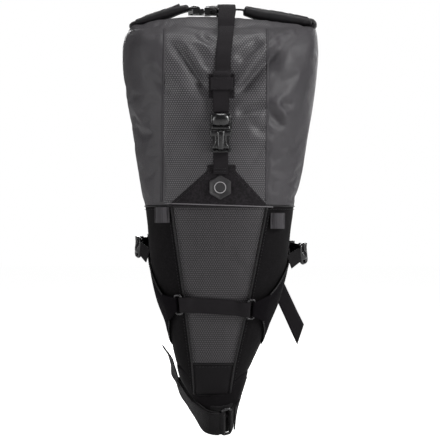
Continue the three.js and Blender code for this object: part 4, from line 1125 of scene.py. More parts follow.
# internal sack: a loose liner well inside the body
zs = np.concatenate([[12, 16], np.linspace(26, 470, 30)])
ph = np.linspace(0, 2 * math.pi, 48, endpoint=False)
PH, Z = np.meshgrid(ph, zs, indexing="ij")
P, N = on_bag(PH, Z), bag_normal(PH, Z)
P = P - N * (9.5 + 1.2 * value_noise(P, 24, 12))[..., None]
v = [tuple(q) for q in P.reshape(-1, 3)]
f = [tuple(q) for q in grid_faces(48, len(zs), True)]
v += [tuple(P[:, 0].mean(0)), tuple(P[:, -1].mean(0))]
for i in range(48):
    f.append((len(v) - 2, ((i + 1) % 48) * len(zs), i * len(zs)))
    f.append((len(v) - 1, i * len(zs) + len(zs) - 1, ((i + 1) % 48) * len(zs) + len(zs) - 1))
uv = [(a[0] * MM, a[2] * MM) for a in v]
liner = new_object("liner_sack", v, f, uv, LINER)
ride(liner, "bag", "liner_bag", slot="liner")

# welts where panels meet: a rolled edge with a row of stitches beside it
def front_line(fn, z0, z1, n, off):
    zs = np.linspace(z0, z1, n)
    P = np.stack([front(np.array(fn(z)), np.array(z), np.array(off)) for z in zs])
    N = np.stack([bag_normal(phi_at_x(np.array(fn(z)), np.array(z)), np.array(z)) for z in zs])
    return P, N


for side, name in ((-1, "left"), (1, "right")):
    P, N = front_line(lambda z: edge_x(z, side), 6.5, 254.5, 120, 1.3)
    ob = sweep(f"piping_{name}_cord", P, circle(1.35, 12), PIPING, up=(0, -1, 0))
    ride(ob, "bag", f"piping_{name}", slot="black_coated")
    P, N = front_line(lambda z: edge_x(z, side) - side * 4.6, 50, 252, 160, 1.3)
    ride(stitches(f"panel_stitches_{name}", P, N, THREAD), "bag")
    P, N = front_line(lambda z: edge_x(z, side) + side * 4.4, 12, 250, 160, 0.7)
    ride(stitches(f"side_stitches_{name}", P, N, THREAD), "bag")

# across the front: seam between the ripstop and the nose panel
def across(z_of, x0, x1, n, off):
    xs = np.linspace(x0, x1, n)
    P = np.stack([front(np.array(x), np.array(z_of(x)), np.array(off)) for x in xs])
    N = np.stack([bag_normal(phi_at_x(np.array(x), np.array(z_of(x))), np.array(z_of(x))) for x in xs])
    return P, N


P, N = across(lambda x: 47.1, edge_x(47, -1) + 0.6, edge_x(47, 1) - 0.6, 40, 0.5)
ride(sweep("nose_seam_welt", P, circle(0.9, 8), PIPING, up=(0, -1, 0)), "bag")
P, N = across(lambda x: 43.6, edge_x(43, -1) + 4, edge_x(43, 1) - 4, 40, 1.2)
ride(stitches("nose_seam_stitches", P, N, THREAD), "bag")

# round the bag: seam between the lower panels and the upper body, a turned welt
phs = np.linspace(0, 2 * math.pi, 160, endpoint=False)
P = on_bag(phs, np.full(160, SEAM_Z)) + bag_normal(phs, np.full(160, SEAM_Z)) * 0.2
ob = sweep("waist_welt", P, circle(1.1, 10), PIPING, closed=True, up=(0, 0, 1))
ride(ob, "bag")
P2 = on_bag(phs, np.full(160, SEAM_Z - 4.2)) + bag_normal(phs, np.full(160, SEAM_Z - 4.2)) * 0.9
N2 = bag_normal(phs, np.full(160, SEAM_Z - 4.2))
ride(stitches("waist_stitches", P2, N2, THREAD), "bag")
# back edges of the side panels
for fn, name in ((bR, "right"), (bL, "left")):
    zs = np.linspace(8, 254, 120)
    P = np.stack([on_bag(np.array(fn(z)), np.array(z)) for z in zs])
    N = np.stack([bag_normal(np.array(fn(z)), np.array(z)) for z in zs])
    ride(sweep(f"back_welt_{name}", P + N * 0.4, circle(1.25, 10), PIPING, up=(0, 1, 0)), "bag")
    for d, tag in ((-0.075, "a"), (0.075, "b")):
        P = np.stack([on_bag(np.array(fn(z) + d), np.array(z)) for z in zs])
        ride(stitches(f"back_stitches_{name}_{tag}", P + N * 0.9, N, THREAD), "bag")

# ------------------------------------------------------------------ yoke, emblem, seam tapes
def yoke_edges(z):
    t = (z - SEAM_Z) / (309 - SEAM_Z)
    k = min(1, max(0, t) / 0.86)
    return (-58 + 52 * k, 73.5 - 42.5 * k)


P, N = front_grid(0, 0, SEAM_Z - 1.5, 309, 44, 26, 0.15, yoke_edges)
yn = 0.25 * value_noise(P, 9, 21) + 0.15 * value_noise(P, 3.5, 22)
qi = np.linspace(0, 1, 44)[:, None]
qj = np.linspace(0, 1, 26)[None]
edge_soft = smooth(0, 0.05, np.minimum(qi, 1 - qi)) * smooth(0, 0.07, np.minimum(qj, 1 - qj))
P = P + N * (yn * edge_soft)[..., None]
uv = np.stack([P[..., 0], P[..., 2]], -1)
yoke = slab("yoke_suede", P, N, 0.7 + 1.0 * edge_soft, YOKE, uv=uv)
ride(yoke, "bag", "yoke", slot="suede")


def yoke_line(inset, n=60):
    """The yoke's outline moved inwards: up the left edge, over the top, down the right edge."""
    pts = []
    zt, zk = 309 - inset, SEAM_Z + 0.86 * 53
    for z in np.linspace(SEAM_Z + 3, zk, n):
        pts.append((yoke_edges(z)[0] + inset * 1.25, z))
    pts.append((yoke_edges(309)[0] + inset, zt))
    for x in np.linspace(-6 + inset, 31 - inset, 14):
        pts.append((x, zt))
    pts.append((yoke_edges(309)[1] - inset, zt))
    for z in np.linspace(zk, SEAM_Z + 3, n):
        pts.append((yoke_edges(z)[1] - inset * 1.25, z))
    out_p, out_n = [], []
    for x, z in pts:
        c, _ = cast(x, z)
        n_ = bag_normal(phi_at_x(np.array(x), np.array(z)), np.array(z))
        out_p.append((c if c is not None else front(np.array(x), np.array(z))) + n_ * 1.75)
        out_n.append(n_)
    return np.array(out_p), np.array(out_n)


for k, inset in enumerate((2.2, 4.6)):
    P, N = yoke_line(inset)
    ride(stitches(f"yoke_stitches_{k}", P, N, THREAD), "bag")

# the light cord along the bottom of the yoke, running up to the right over the side panel
def cord_z(x):
    return SEAM_Z + 4.2 - 5.6 * smooth(-58, 78, x) + 0.0 * x


pts, nor = [], []
for x in np.linspace(-58, 79, 90):
    z = 259.6 - 4.6 * (x + 58) / 137
    n_ = bag_normal(phi_at_x(np.array(x), np.array(z)), np.array(z))
    c, _ = cast(x, z) if z > SEAM_Z + 1 else (None, None)
    base = c if c is not None else front(np.array(x), np.array(z))
    pts.append(base + n_ * 1.9)
    nor.append(n_)
ride(sweep("yoke_cord", np.array(pts), circle(0.75, 8), PIPING_LIGHT, up=(0, -1, 0)), "bag")
P, N = np.array(pts) + [0, 0, 3.0], np.array(nor)
ride(stitches("yoke_cord_stitches", P + N * -0.2, N, THREAD), "bag")


def frame_at(x, z, off):
    o = front(np.array(x, float), np.array(z, float), np.array(float(off)))
    T = bag_normal(phi_at_x(np.array(x, float), np.array(z, float)), np.array(z, float))
    T = unit(T * [0, 1, 1])
    U = np.array([1.0, 0, 0])
    L = np.cross(T, U)
    return o, U, unit(L), T


def place(local, fr):
    o, U, L, T = fr
    local = np.asarray(local, float)
    return o + local[..., :1] * U + local[..., 1:2] * L + local[..., 2:3] * T


def hexagon(r, corner, k=5):
    pts = []
    for i in range(6):
        a = math.radians(30 + 60 * i)
        for j in np.linspace(-1, 1, k):
            b = a + j * math.radians(30)
            pts.append((r * math.cos(a) + corner * math.cos(b), r * math.sin(a) + corner * math.sin(b)))
    return np.array(pts)


def rings_solid(name, rings, mat, fr, cap=True):
    """A closed form from stacked outlines of equal count: [(outline (k, 2), z), ...] in a local frame."""
    k = len(rings[0][0])
    verts, faces = [], []
    for outline, z in rings:
        for p in outline:
            verts.append((p[0], p[1], z))
    for r in range(len(rings) - 1):
        for j in range(k):
            a, b = r * k + j, r * k + (j + 1) % k
            faces.append((a, b, b + k, a + k))
    if cap:
        faces.append(tuple(range(k))[::-1])
        faces.append(tuple((len(rings) - 1) * k + j for j in range(k)))
    V = place(verts, fr)
    ob = new_object(name, V, faces, [(v[0] * MM, v[1] * MM) for v in verts], mat)
    bm = bmesh.new()
    bm.from_mesh(ob.data)
    bmesh.ops.recalc_face_normals(bm, faces=bm.faces)
    bm.to_mesh(ob.data)
    bm.free()
    return ob


EM = frame_at(10.8, 280.5, 2.2)
H = lambda r, c: hexagon(r, c)
emblem = rings_solid("emblem_patch_moulded", [(H(12.3, 3.0), 0), (H(12.5, 3.2), 0.6), (H(12.5, 3.2), 1.8), (H(12.3, 3.0), 2.3), (H(11.6, 2.8), 2.5), (H(11.0, 2.6), 2.3), (H(10.8, 2.5), 1.9), (H(6, 1.6), 1.85), (H(0.5, 0.2), 1.85)], PATCH, EM)
ride(emblem, "bag", "emblem_patch", slot="emblem")
ro, ri = 8.2, 6.4
a = np.arange(48) / 48 * 2 * math.pi
circ = lambda r: np.stack([r * np.cos(a), r * np.sin(a)], -1)
mark = sweep("emblem_ring", place(np.concatenate([circ(7.2), np.full((48, 1), 2.0)], 1), EM), circle(0.75, 8, 0.55), PATCH_MARK, closed=True, up=EM[3])
ride(mark, "bag", slot="emblem")

# taped side seams of the upper body
for name, sx, dx in (("left", SEAM_XL, 0), ("right", SEAM_XR, 0)):
    for k, w in enumerate((3.4,)):
        rows, nrm = [], []
        for z in np.linspace(262, 489, 100):
            x = sx + np.interp(z, [256, 470], [-4.5 if name == "left" else -1.5, 0])
            c0, n0 = cast(x - w / 2, z)
            c1, n1 = cast(x + w / 2, z)
            if c0 is None or c1 is None:
                continue
            rows.append([c0 + n0 * 0.05, (c0 + c1) / 2 + (n0 + n1) / 2 * 0.12, c1 + n1 * 0.05])
            nrm.append([n0, unit(n0 + n1), n1])
        ob = slab(f"seam_tape_{name}", np.array(rows).transpose(1, 0, 2), np.array(nrm).transpose(1, 0, 2), 0.22, SEAM_TAPE)
        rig.slot(ob, "grey_ripstop")
        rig.blend(ob, "bag", "roll", start=(0, 0, 0.430), end=(0, 0, 0.492))

# ------------------------------------------------------------------ light loops
for name, x0, x1, zc in (("left", -73.0, -54.6, 244.2), ("right", 75.5, 93.5, 236.5)):
    lift = [0.5, 0.5, 3.4, 5.6, 5.6, 3.4, 0.5, 0.5]
    at = [0, 0.16, 0.24, 0.38, 0.62, 0.76, 0.84, 1]
    c, n_ = [], []
    for t, l in zip(at, lift):
        x = x0 + (x1 - x0) * t
        p = phi_at_x(np.array(x), np.array(zc))
        n = unit(bag_normal(p, np.array(zc)) * [1, 1, 0])
        c.append(on_bag(p, np.array(zc)) + n * (l + 1.7))
        n_.append(n)
    ob = ribbon(f"light_loop_{name}_webbing", c, (0, 0, 1), n_, 21, 1.2, LOOP_WEB, n=44, cols=9)
    ride(ob, "bag", f"light_loop_{name}", slot="loop_webbing")
    for x in (x0 + 1.6, x1 - 1.6):
        zz = np.linspace(zc - 9, zc + 9, 20)
        p = np.stack([front(np.array(x), np.array(q), np.array(3.5)) for q in zz])
        nn = np.stack([bag_normal(phi_at_x(np.array(x), np.array(q)), np.array(q)) for q in zz])
        ride(stitches(f"loop_tack_{name}_{'a' if x < (x0 + x1) / 2 else 'b'}", p, nn, THREAD, pitch=1.8, length=1.5, r=0.35), "bag")

# ------------------------------------------------------------------ rings, bridge strap and wings
RINGS = {"left": (-41.5, 128.0), "right": (49.5, 122.0)}
BAR = 11.5 / 2 - 1.5


def ring_frame(side):
    x, z = RINGS[side]
    p = phi_at_x(np.array(x), np.array(z))
    n = bag_normal(p, np.array(z))
    o = on_bag(p, np.array(z)) + n * 7.2
    L = unit(np.array([0, 0, 1.0]) - n * n[2])
    U = unit(np.cross(L, n))
    return o, U, L, n


def rounded_rect(w, h, r, k=7):
    pts = []
    for cx, cy, a0 in ((w / 2 - r, h / 2 - r, 0), (-w / 2 + r, h / 2 - r, 90), (-w / 2 + r, -h / 2 + r, 180), (w / 2 - r, -h / 2 + r, 270)):
        for t in np.linspace(0, 90, k):
            a_ = math.radians(a0 + t)
            pts.append((cx + r * math.cos(a_), cy + r * math.sin(a_)))
    return np.array(pts)


for side in ("left", "right"):
    fr = ring_frame(side)
    rr = rounded_rect(11.5 - 3.0, 28.6 - 3.0, 2.6)
    path = place(np.concatenate([rr, np.zeros((len(rr), 1))], 1), fr)
    ob = sweep(f"ring_{side}_moulded", path, circle(1.5, 14), RING_MAT, closed=True, up=fr[3])
    ride(ob, f"ring_{side}", f"ring_{side}", slot="ring_plastic")

fl, fr_ = ring_frame("left"), ring_frame("right")
r = 1.5 + 0.62
cen, acr, nor = [], [], []


def push(f, u, v, nu, nv):
    cen.append(f[0] + f[1] * u + f[3] * v)
    acr.append(f[2])
    nor.append(unit(f[1] * nu + f[3] * nv))


push(fl, BAR + 13, -r - 0.3, 0, -1)
push(fl, BAR + 4, -r, 0, -1)
for d in (-90, -135, 180, 135, 90):
    q = math.radians(d)
    push(fl, BAR + r * math.cos(q), r * math.sin(q), math.cos(q), math.sin(q))
push(fl, BAR + 7, r - 1.6, 0.15, 1)
for t in (0.22, 0.36, 0.5, 0.64, 0.78):
    x, z = -41.5 + 91 * t, 128 - 6 * t
    p = phi_at_x(np.array(x), np.array(z))
    n = bag_normal(p, np.array(z))
    cen.append(on_bag(p, np.array(z)) + n * 5.0)
    acr.append(np.array([0, 0, 1.0]))
    nor.append(n)
push(fr_, -BAR - 7, r - 1.6, -0.15, 1)
for d in (90, 45, 0, -45, -90):
    q = math.radians(d)
    push(fr_, -BAR + r * math.cos(q), r * math.sin(q), math.cos(q), math.sin(q))
push(fr_, -BAR - 4, -r, 0, -1)
push(fr_, -BAR - 13, -r - 0.3, 0, -1)
ob = ribbon("bridge_strap_webbing", cen, acr, nor, 20, 1.0, WEB_DARK, step=1.2, cols=9)
ride(ob, "bag", "bridge_strap", slot="webbing")
# box stitching beside each ring
for f, s, name in ((fl, 1, "left"), (fr_, -1, "right")):
    for k, u in enumerate((8.5, 10.0, 14.5, 16.0)):
        pts_, nn = [], []
        for w in np.linspace(-8.5, 8.5, 16):
            x = f[0][0] + s * u * 1.0
            z = f[0][2] + w - (x - f[0][0]) * 0.066
            p = front(np.array(x), np.array(z), np.array(6.35 if u > 9 else 6.6))
            n = bag_normal(phi_at_x(np.array(x), np.array(z)), np.array(z))
            pts_.append(p)
            nn.append(n)
        ride(stitches(f"bridge_stitches_{name}_{k}", np.array(pts_), np.array(nn), THREAD, pitch=2.2, length=1.7, r=0.3), "bag")

wing_edge = {}
for side in ("left", "right"):
    s = 1 if side == "right" else -1
    f = ring_frame(side)
    C, Nn = [], []
    cols = 17

    def row(c, half, n):
        C.append([c + f[2] * (-half + 2 * half * j / (cols - 1)) for j in range(cols)])
        Nn.append([unit(n)] * cols)

    at_ = lambda u, v: f[0] + f[1] * (s * u) + f[3] * v
    nn_ = lambda u, v: f[1] * (s * u) + f[3] * v
    row(at_(BAR + 9, -r + 0.2), 10, nn_(0, -1))
    row(at_(BAR + 3.5, -r), 10, nn_(0, -1))
    for d in (-90, -120, -150, 180, 150, 120, 90):
        q = math.radians(d)
        row(at_(BAR + r * math.cos(q), r * math.sin(q)), 10, nn_(math.cos(q), math.sin(q)))
    keys = np.array([[0.16, 106, 141, 5.4], [0.34, 96, 150, 3.6], [0.54, 84, 163, 2.6], [0.76, 74, 177, 2.2], [1.0, 72, 190, 2.0], [1.25, 84, 199, 2.0], [1.5, 108, 205, 2.0]])
    z0 = RINGS[side][1]
    p0 = float(phi_at_x(np.array(RINGS[side][0] + s * (BAR + 8)), np.array(z0)))
    edge = 0.0 if side == "right" else -math.pi
    up_edge, lo_edge = [], []
    for k in np.linspace(0.16, 1.5, 34):
        zl, zu, off = (_pchip(keys[:, 0], keys[:, c], np.array(k)) for c in (1, 2, 3))
        ph_ = p0 + (edge - p0) * k
        Pz = zl + (zu - zl) * np.linspace(0, 1, cols)
        n = bag_normal(np.full(cols, ph_), Pz)
        base = on_bag(np.full(cols, ph_), Pz)
        q = np.linspace(0, 1, cols)
        # folds fan out from the ring
        fold = 0.8 * np.sin(q * math.pi * 3 + 0.6) * smooth(0.16, 0.4, k) * smooth(0.95, 0.6, k) * smooth(0, 0.15, q) * smooth(1, 0.85, q)
        hemv = 0.45 * (1 - smooth(0.62, 0.85, k)) * np.exp(-(((q) / 0.05) ** 2)) + 0.45 * np.exp(-(((1 - q) / 0.05) ** 2))
        thin = 1.0 - 0.9 * smooth(0.55, 0.9, k) * smooth(0.5, 0.12, q)
        pts_ = base + n * ((off + fold + hemv + 0.2) * thin)[..., None]
        C.append(list(pts_))
        Nn.append(list(n))
        up_edge.append((pts_[-2] * 0.6 + pts_[-1] * 0.4 + n[-1] * 1.0, n[-1]))
        lo_edge.append((pts_[1] * 0.6 + pts_[0] * 0.4 + n[0] * 1.0, n[0]))
    C, Nn = np.array(C), np.array(Nn)
    uv = np.stack([C[..., 1], C[..., 2]], -1)
    ob = slab(f"wing_{side}_cloth", C, Nn, 1.0, WING, uv=uv)
    ride(ob, "bag", f"wing_{side}", slot="black_coated")
    for tag, line in (("upper", up_edge), ("lower", lo_edge)):
        pp, nq = np.array([a_[0] for a_ in line]), np.array([a_[1] for a_ in line])
        ride(stitches(f"wing_{side}_{tag}_stitches", pp + nq * 0.1, nq, THREAD), "bag")
        out = 1 if tag == "upper" else -1
        edge_pts = C[9:, -1] if tag == "upper" else C[9:, 0]
        nn2 = Nn[9:, -1] if tag == "upper" else Nn[9:, 0]
        ks = np.linspace(0.16, 1.5, len(edge_pts))
        thin_b = np.ones(len(ks)) if tag == "upper" else 1 - 0.6 * smooth(0.5, 0.85, ks) * smooth(1.5, 1.2, ks)
        ride(sweep(f"wing_{side}_{tag}_binding", edge_pts + nn2 * (0.5 * thin_b)[:, None], circle(0.8, 8)[None] * thin_b[:, None, None], PIPING, up=(0, -1, 0)), "bag")

# ------------------------------------------------------------------ compression strap, its keeper and buckle
def strap_x(z):
    if z > 430:
        return 14.5 + 4.6 * float(smooth(440, 500, z))
    return max(11.6, 14.5 - (430 - z) / 60 * 2.9)


def cloth_frame(x, z, off, width=20):
    """Like frame_at, on the finished cloth."""
    o, U, L, T = frame_at(x, z, 0)
    y = cloth_y(x, z, -1, width)
    if y is not None:
        o = np.array([x, min(y, o[1] + 3.0), z])
    return o + T * off, U, L, T


tab_z, tab_off = [298, 303, 308, 313, 320, 326.4], [2.3, 3.0, 3.2, 3.0, 1.9, 1.4]
fr = [frame_at(11.6, z, o) for z, o in zip(tab_z, tab_off)]
ob = ribbon("buckle_tab_webbing", [f[0] for f in fr], [f[1] for f in fr], [f[3] for f in fr], 19.4, 1.2, WEB)
ride(ob, "bag", "buckle_tab", slot="webbing")
for k, z in enumerate((301.5, 305.5)):
    pts_ = np.stack([frame_at(x, z, 4.4)[0] for x in np.linspace(3.2, 20, 12)])
    ride(stitches(f"tab_tack_{k}", pts_, np.tile(frame_at(11.6, z, 0)[3], (12, 1)), THREAD, pitch=1.7, length=1.4, r=0.35), "bag")

# keeper patch with its hems
P, N = front_grid(-4, 29.5, 396.5, 427.5, 26, 22, 0.25)
P = P + N * (0.35 * value_noise(P, 5, 31))[..., None]
ob = slab("keeper_patch_suede", P, N, 0.9, YOKE, uv=np.stack([P[..., 0], P[..., 2]], -1))
ride(ob, "bag", "keeper_patch", slot="suede")
for k, (xa, za, xb, zb) in enumerate(((-2.5, 398, 28, 398), (-2.5, 426, 28, 426), (-2.6, 398, -2.6, 426), (28, 398, 28, 426))):
    pts_, nn = [], []
    for t in np.linspace(0, 1, 14):
        x, z = xa + (xb - xa) * t, za + (zb - za) * t
        c, _ = cast(x, z)
        n_ = bag_normal(phi_at_x(np.array(x), np.array(z)), np.array(z))
        pts_.append(c + n_ * 1.2)
        nn.append(n_)
    ride(stitches(f"keeper_patch_stitches_{k}", np.array(pts_), np.array(nn), THREAD, pitch=2.6, length=1.9), "bag")

fK = frame_at(12.8, 414, 3.0)
kp = [(-12.2, 0), (12.2, 0), (12.8, 0.6), (12.8, 6.2), (12.2, 6.9), (-12.2, 6.9), (-12.8, 6.2), (-12.8, 0.6)]
kc = spline(np.array([place([(x, 0, z)], fK)[0] for x, z in kp]), 56, closed=True)
cen_ = kc.mean(0)
kn = unit(kc - cen_)
Pk = kc[:, None] + fK[2][None, None] * np.linspace(-8, 8, 9)[None, :, None]
Nk = np.broadcast_to(kn[:, None], Pk.shape)
uvk = np.stack(np.broadcast_arrays(np.linspace(-8, 8, 9)[None, :] + 0 * kc[:, :1], np.linspace(0, 52, 56)[:, None]), -1)
ob = slab("strap_keeper_webbing", Pk, Nk, 0.8, WEB, uv=uvk, closed_i=True)
ride(ob, "bag", "strap_keeper", slot="webbing")
for k, z in enumerate((-6.8, 6.8)):
    pts_ = place([(x, z, 7.8) for x in np.linspace(-10.5, 10.5, 16)], fK)
    ride(stitches(f"keeper_stitches_{k}", pts_, np.tile(fK[3], (16, 1)), THREAD, pitch=2.4, length=1.8), "bag")

# front run in two pieces that meet under the keeper: the lower slides with the male half, the upper follows the roll
zs_ = [362, 372, 380, 390, 398, 405, 411]
fr = [frame_at(strap_x(z), z, 2.0 if z < 400 else (2.8 if z < 404 else 3.6)) for z in zs_]
ob = ribbon("compression_strap_lower", [f[0] for f in fr], [f[1] for f in fr], [f[3] for f in fr], 20, 1.4, WEB)
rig.slot(ob, "webbing")
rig.blend(ob, "compression_male", "bag", start=(0, 0, 0.376), end=(0, 0, 0.410))
zs_ = [409, 416, 424, 432, 440, 448, 456, 462, 468, 474, 479, 484, 488]
fr = [frame_at(strap_x(z), z, 3.6) for z in zs_]
C_ = np.array([f[0] for f in fr])
for k, z in enumerate(zs_):
    if z > 428:
        y = cloth_y(strap_x(z), z, -1, 20)
        if y is not None:
            C_[k, 1] = min(C_[k, 1] + 6.0, max(y - 0.3, C_[k, 1] - 1.0))
strap_front_C = C_
ob = ribbon("compression_strap_upper", C_, [f[1] for f in fr], [f[3] for f in fr], 20, 1.4, WEB, crown=0.2)
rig.slot(ob, "webbing")
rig.replaces(ob, "compression_strap_front")
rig.blend(ob, "bag", "roll", start=(0, 0, 0.430), end=(0, 0, 0.490))
tz = [378, 386, 392, 404, 416, 427]
fr = [frame_at(max(11.0, 11.6 - (z - 380) * 0.03), z, 5.7) for z in tz]
ob = ribbon("compression_strap_tail_webbing", [f[0] for f in fr], [f[1] for f in fr], [f[3] for f in fr], 19.4, 1.4, WEB)
ride(ob, "compression_male", "compression_strap_tail", slot="webbing")
fr = frame_at(11.0, 427.6, 5.5)
ob = ribbon("compression_tail_fold", place([(0, -6, 1.6), (0, -1, 1.7), (0, 0.8, 1.0), (0, 0.9, 0.2)], fr), fr[1], [fr[3], fr[3], unit(fr[3] + fr[2]), fr[2]], 19.6, 1.2, WEB, n=14)
ride(ob, "compression_male", slot="webbing")
for k, z in enumerate((-2.2, -4.6)):
    pts_ = place([(x, z, 3.0) for x in np.linspace(-8.4, 8.4, 12)], fr)
    ride(stitches(f"tail_fold_stitches_{k}", pts_, np.tile(fr[3], (12, 1)), THREAD, pitch=2.2, length=1.7), "compression_male")

bz = [488, 484, 478, 472, 464, 456, 443, 430, 415, 400, 385, 370, 355, 340, 328, 318]
C_, nn = [], []
for z in bz:
    p = phi_at_x(np.array(14.5), np.array(float(z)), 1)
    n = unit(bag_normal(p, np.array(float(z))) * [0, 1, 1])
    q = on_bag(p, np.array(float(z)))
    y = cloth_y(14.5, z, 1, 20)
    if y is not None and z < 484:
        q[1] = max(min(q[1] + 1.5, y + 0.1), q[1] - 6.0)
    C_.append(q + n * (0.5 if z < 484 else 1.0))
    nn.append(n)
ob = ribbon("compression_strap_back_run", C_, (1, 0, 0), nn, 20, 1.4, WEB)
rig.slot(ob, "webbing")
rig.replaces(ob, "compression_strap_back")
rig.blend(ob, "bag", "roll", start=(0, 0, 0.430), end=(0, 0, 0.490))
back_run = (C_, nn)
fa, fb = strap_front_C[-2], strap_front_C[-1]
ba, bb = np.asarray(back_run[0][1]), np.asarray(back_run[0][0])
over = [((fa[1] + fb[1]) / 2 - 0.08, (fa[2] + fb[2]) / 2), (fb[1] - 0.08, fb[2]), (-60, 503), (-46, 514), (-30, 521.6), (-14, 523.8), (2, 523.4), (12, 518.5), (22, 508.5), (30, 499), (bb[1] + 0.08, bb[2]), ((ba[1] + bb[1]) / 2 + 0.08, (ba[2] + bb[2]) / 2)]
C_ = np.array([[float(np.interp(y, [fb[1], -46, -10, bb[1]], [fb[0], 20.2, 18.6, 14.5])), y, z] for y, z in over])
tan = unit(np.gradient(C_, axis=0))
nrm = np.stack([np.cross((1, 0, 0), t_) for t_ in tan])
nrm = np.where(nrm[:, 2:3] < 0, -nrm, nrm)
nrm[0] = nrm[1]
ob = ribbon("compression_strap_over_roll", C_, (1, 0, 0), nrm, [20.6, 21, 22, 22.8, 23, 22.6, 22, 21.4, 20.8, 20.2, 20, 20], 1.4, WEB, crown=0.3)
ride(ob, "roll", "compression_strap_top", slot="webbing")
# sewn anchor: a suede patch over the end with a box of stitches
xs, zz = np.linspace(-4.5, 33.5, 20), np.linspace(300, 334, 18)
P, N = np.zeros((20, 18, 3)), np.zeros((20, 18, 3))
for i, x in enumerate(xs):
    for j, z in enumerate(zz):
        p = phi_at_x(np.array(x), np.array(z), 1)
        n = bag_normal(p, np.array(z))
        c, _ = cast(x, z, 1)
        P[i, j] = (c if c is not None else on_bag(p, np.array(z))) + n * 0.2
        N[i, j] = n
ob = slab("back_anchor_patch", P, N, 1.0, YOKE, uv=np.stack([P[..., 0], P[..., 2]], -1))
ride(ob, "bag", slot="suede")
for k, (xa, za, xb, zb) in enumerate(((-3, 301.5, 32, 301.5), (-3, 332.5, 32, 332.5), (-3, 301.5, -3, 332.5), (32, 301.5, 32, 332.5))):
    pts_, nn_l = [], []
    for t in np.linspace(0, 1, 16):
        x, z = xa + (xb - xa) * t, za + (zb - za) * t
        p = phi_at_x(np.array(x), np.array(z), 1)
        c, _ = cast(x, z, 1)
        n = bag_normal(p, np.array(z))
        pts_.append((c if c is not None else on_bag(p, np.array(z))) + n * 1.25)
        nn_l.append(n)
    ride(stitches(f"back_anchor_stitches_{k}", np.array(pts_), np.array(nn_l), THREAD, pitch=2.8, length=2.0), "bag")

# ------------------------------------------------------------------ roll closure and its folded ends
def roll_tube(name, line, mat, W, T, ends, seed=1, n=90, tip=0.0, lean_y=None):
    """A flattened roll of cloth along X: a spiral section, so that the wraps show as steps, with gathers along it."""
    line = np.asarray(line, float)
    keyd = np.concatenate([[0], np.cumsum(np.linalg.norm(np.diff(line, axis=0), axis=1))])
    Tn = np.interp(np.linspace(0, keyd[-1], n), keyd, np.broadcast_to(np.asarray(T, float), (len(line),)))
    Wn = np.interp(np.linspace(0, keyd[-1], n), keyd, np.broadcast_to(np.asarray(W, float), (len(line),)))
    W, T = float(np.max(W)), float(np.max(T))
    line = spline(line, n)
    tan_ = unit(np.gradient(line, axis=0))
    m = 56
    th = np.linspace(0, 2 * math.pi, m, endpoint=False)
    V = np.zeros((n, m, 3))
    s_ = np.linspace(0, 1, n)
    length = np.linalg.norm(np.diff(line, axis=0), axis=1).sum()
    for i in range(n):
        e = 1.0
        if tip:
            da, db = s_[i] * length, (1 - s_[i]) * length
            if ends[0] < 1:
                e = min(e, math.sqrt(max(0.02, 1 - max(0, 1 - da / tip) ** 2)))
            if ends[1] < 1:
                e = min(e, math.sqrt(max(0.02, 1 - max(0, 1 - db / tip) ** 2)))
        c, s = np.cos(th), np.sin(th)
        spiral = 1 - 0.10 * ((th - 2.2) % (2 * math.pi)) / (2 * math.pi)
        w = Wn[i] / 2 * np.sign(c) * np.abs(c) ** 0.72 * spiral
        t = Tn[i] / 2 * np.sign(s) * np.abs(s) ** 0.72 * spiral
        nx, nz = -tan_[i, 1], tan_[i, 0]
        q = np.stack([line[i, 0] + 0 * w, w, line[i, 1] + 0 * w], -1)
        g = 0.5 * value_noise(np.stack([q[:, 0] * 1.0, q[:, 1] * 0.5, q[:, 2] * 0.5], -1), 6, seed) + 0.6 * value_noise(np.stack([q[:, 0] * 0.5, q[:, 1], q[:, 2]], -1), 11, seed + 1)
        w, t = w * e, t * e
        r_ = np.maximum(np.hypot(w, t), 1e-3)
        w, t = w * (1 + g * e / r_ * 0.8), t * (1 + g * e / r_ * 1.0)
        V[i] = np.stack([line[i, 0] + nx * t, -8 + w, line[i, 1] + nz * t], -1)
    verts = list(V.reshape(-1, 3))
    faces = []
    for i in range(n - 1):
        for j in range(m):
            a_, b_ = i * m + j, i * m + (j + 1) % m
            faces.append((a_, a_ + m, b_ + m, b_))
    # ends: rings stepping inwards show the wraps
    for end, sgn in ((0, -1), (n - 1, 1)):
        prev = end * m
        cen_ = V[end].mean(0)
        dirv = np.array([tan_[end, 0], 0, tan_[end, 1]]) * sgn
        for k, (shrink, push_) in enumerate(((0.93, 0.7), (0.84, 0.1), (0.74, 0.6), (0.62, -0.2), (0.5, 0.4), (0.36, -0.4), (0.2, 0.2))):
            ringv = cen_ + (V[end] - cen_) * shrink + dirv * push_
            start = len(verts)
            verts += list(ringv)
            for j in range(m):
                a_, b_ = prev + j, prev + (j + 1) % m
                c_, d_ = start + (j + 1) % m, start + j
                faces.append((a_, b_, c_, d_) if sgn > 0 else (a_, d_, c_, b_))
            prev = start
        faces.append(tuple(prev + j for j in range(m)) if sgn > 0 else tuple(prev + j for j in range(m))[::-1])
    verts = np.array(verts)
    ang = np.tile(th / (2 * math.pi) * (W + T) * 2, len(verts) // m + 1)[: len(verts)]
    uv_ = np.stack([verts[:, 0] * MM, ang * MM], -1)
    ob = new_object(name, verts, faces, uv_, mat)
    bm = bmesh.new()
    bm.from_mesh(ob.data)
    bmesh.ops.recalc_face_normals(bm, faces=bm.faces)
    bm.to_mesh(ob.data)
    bm.free()
    return ob


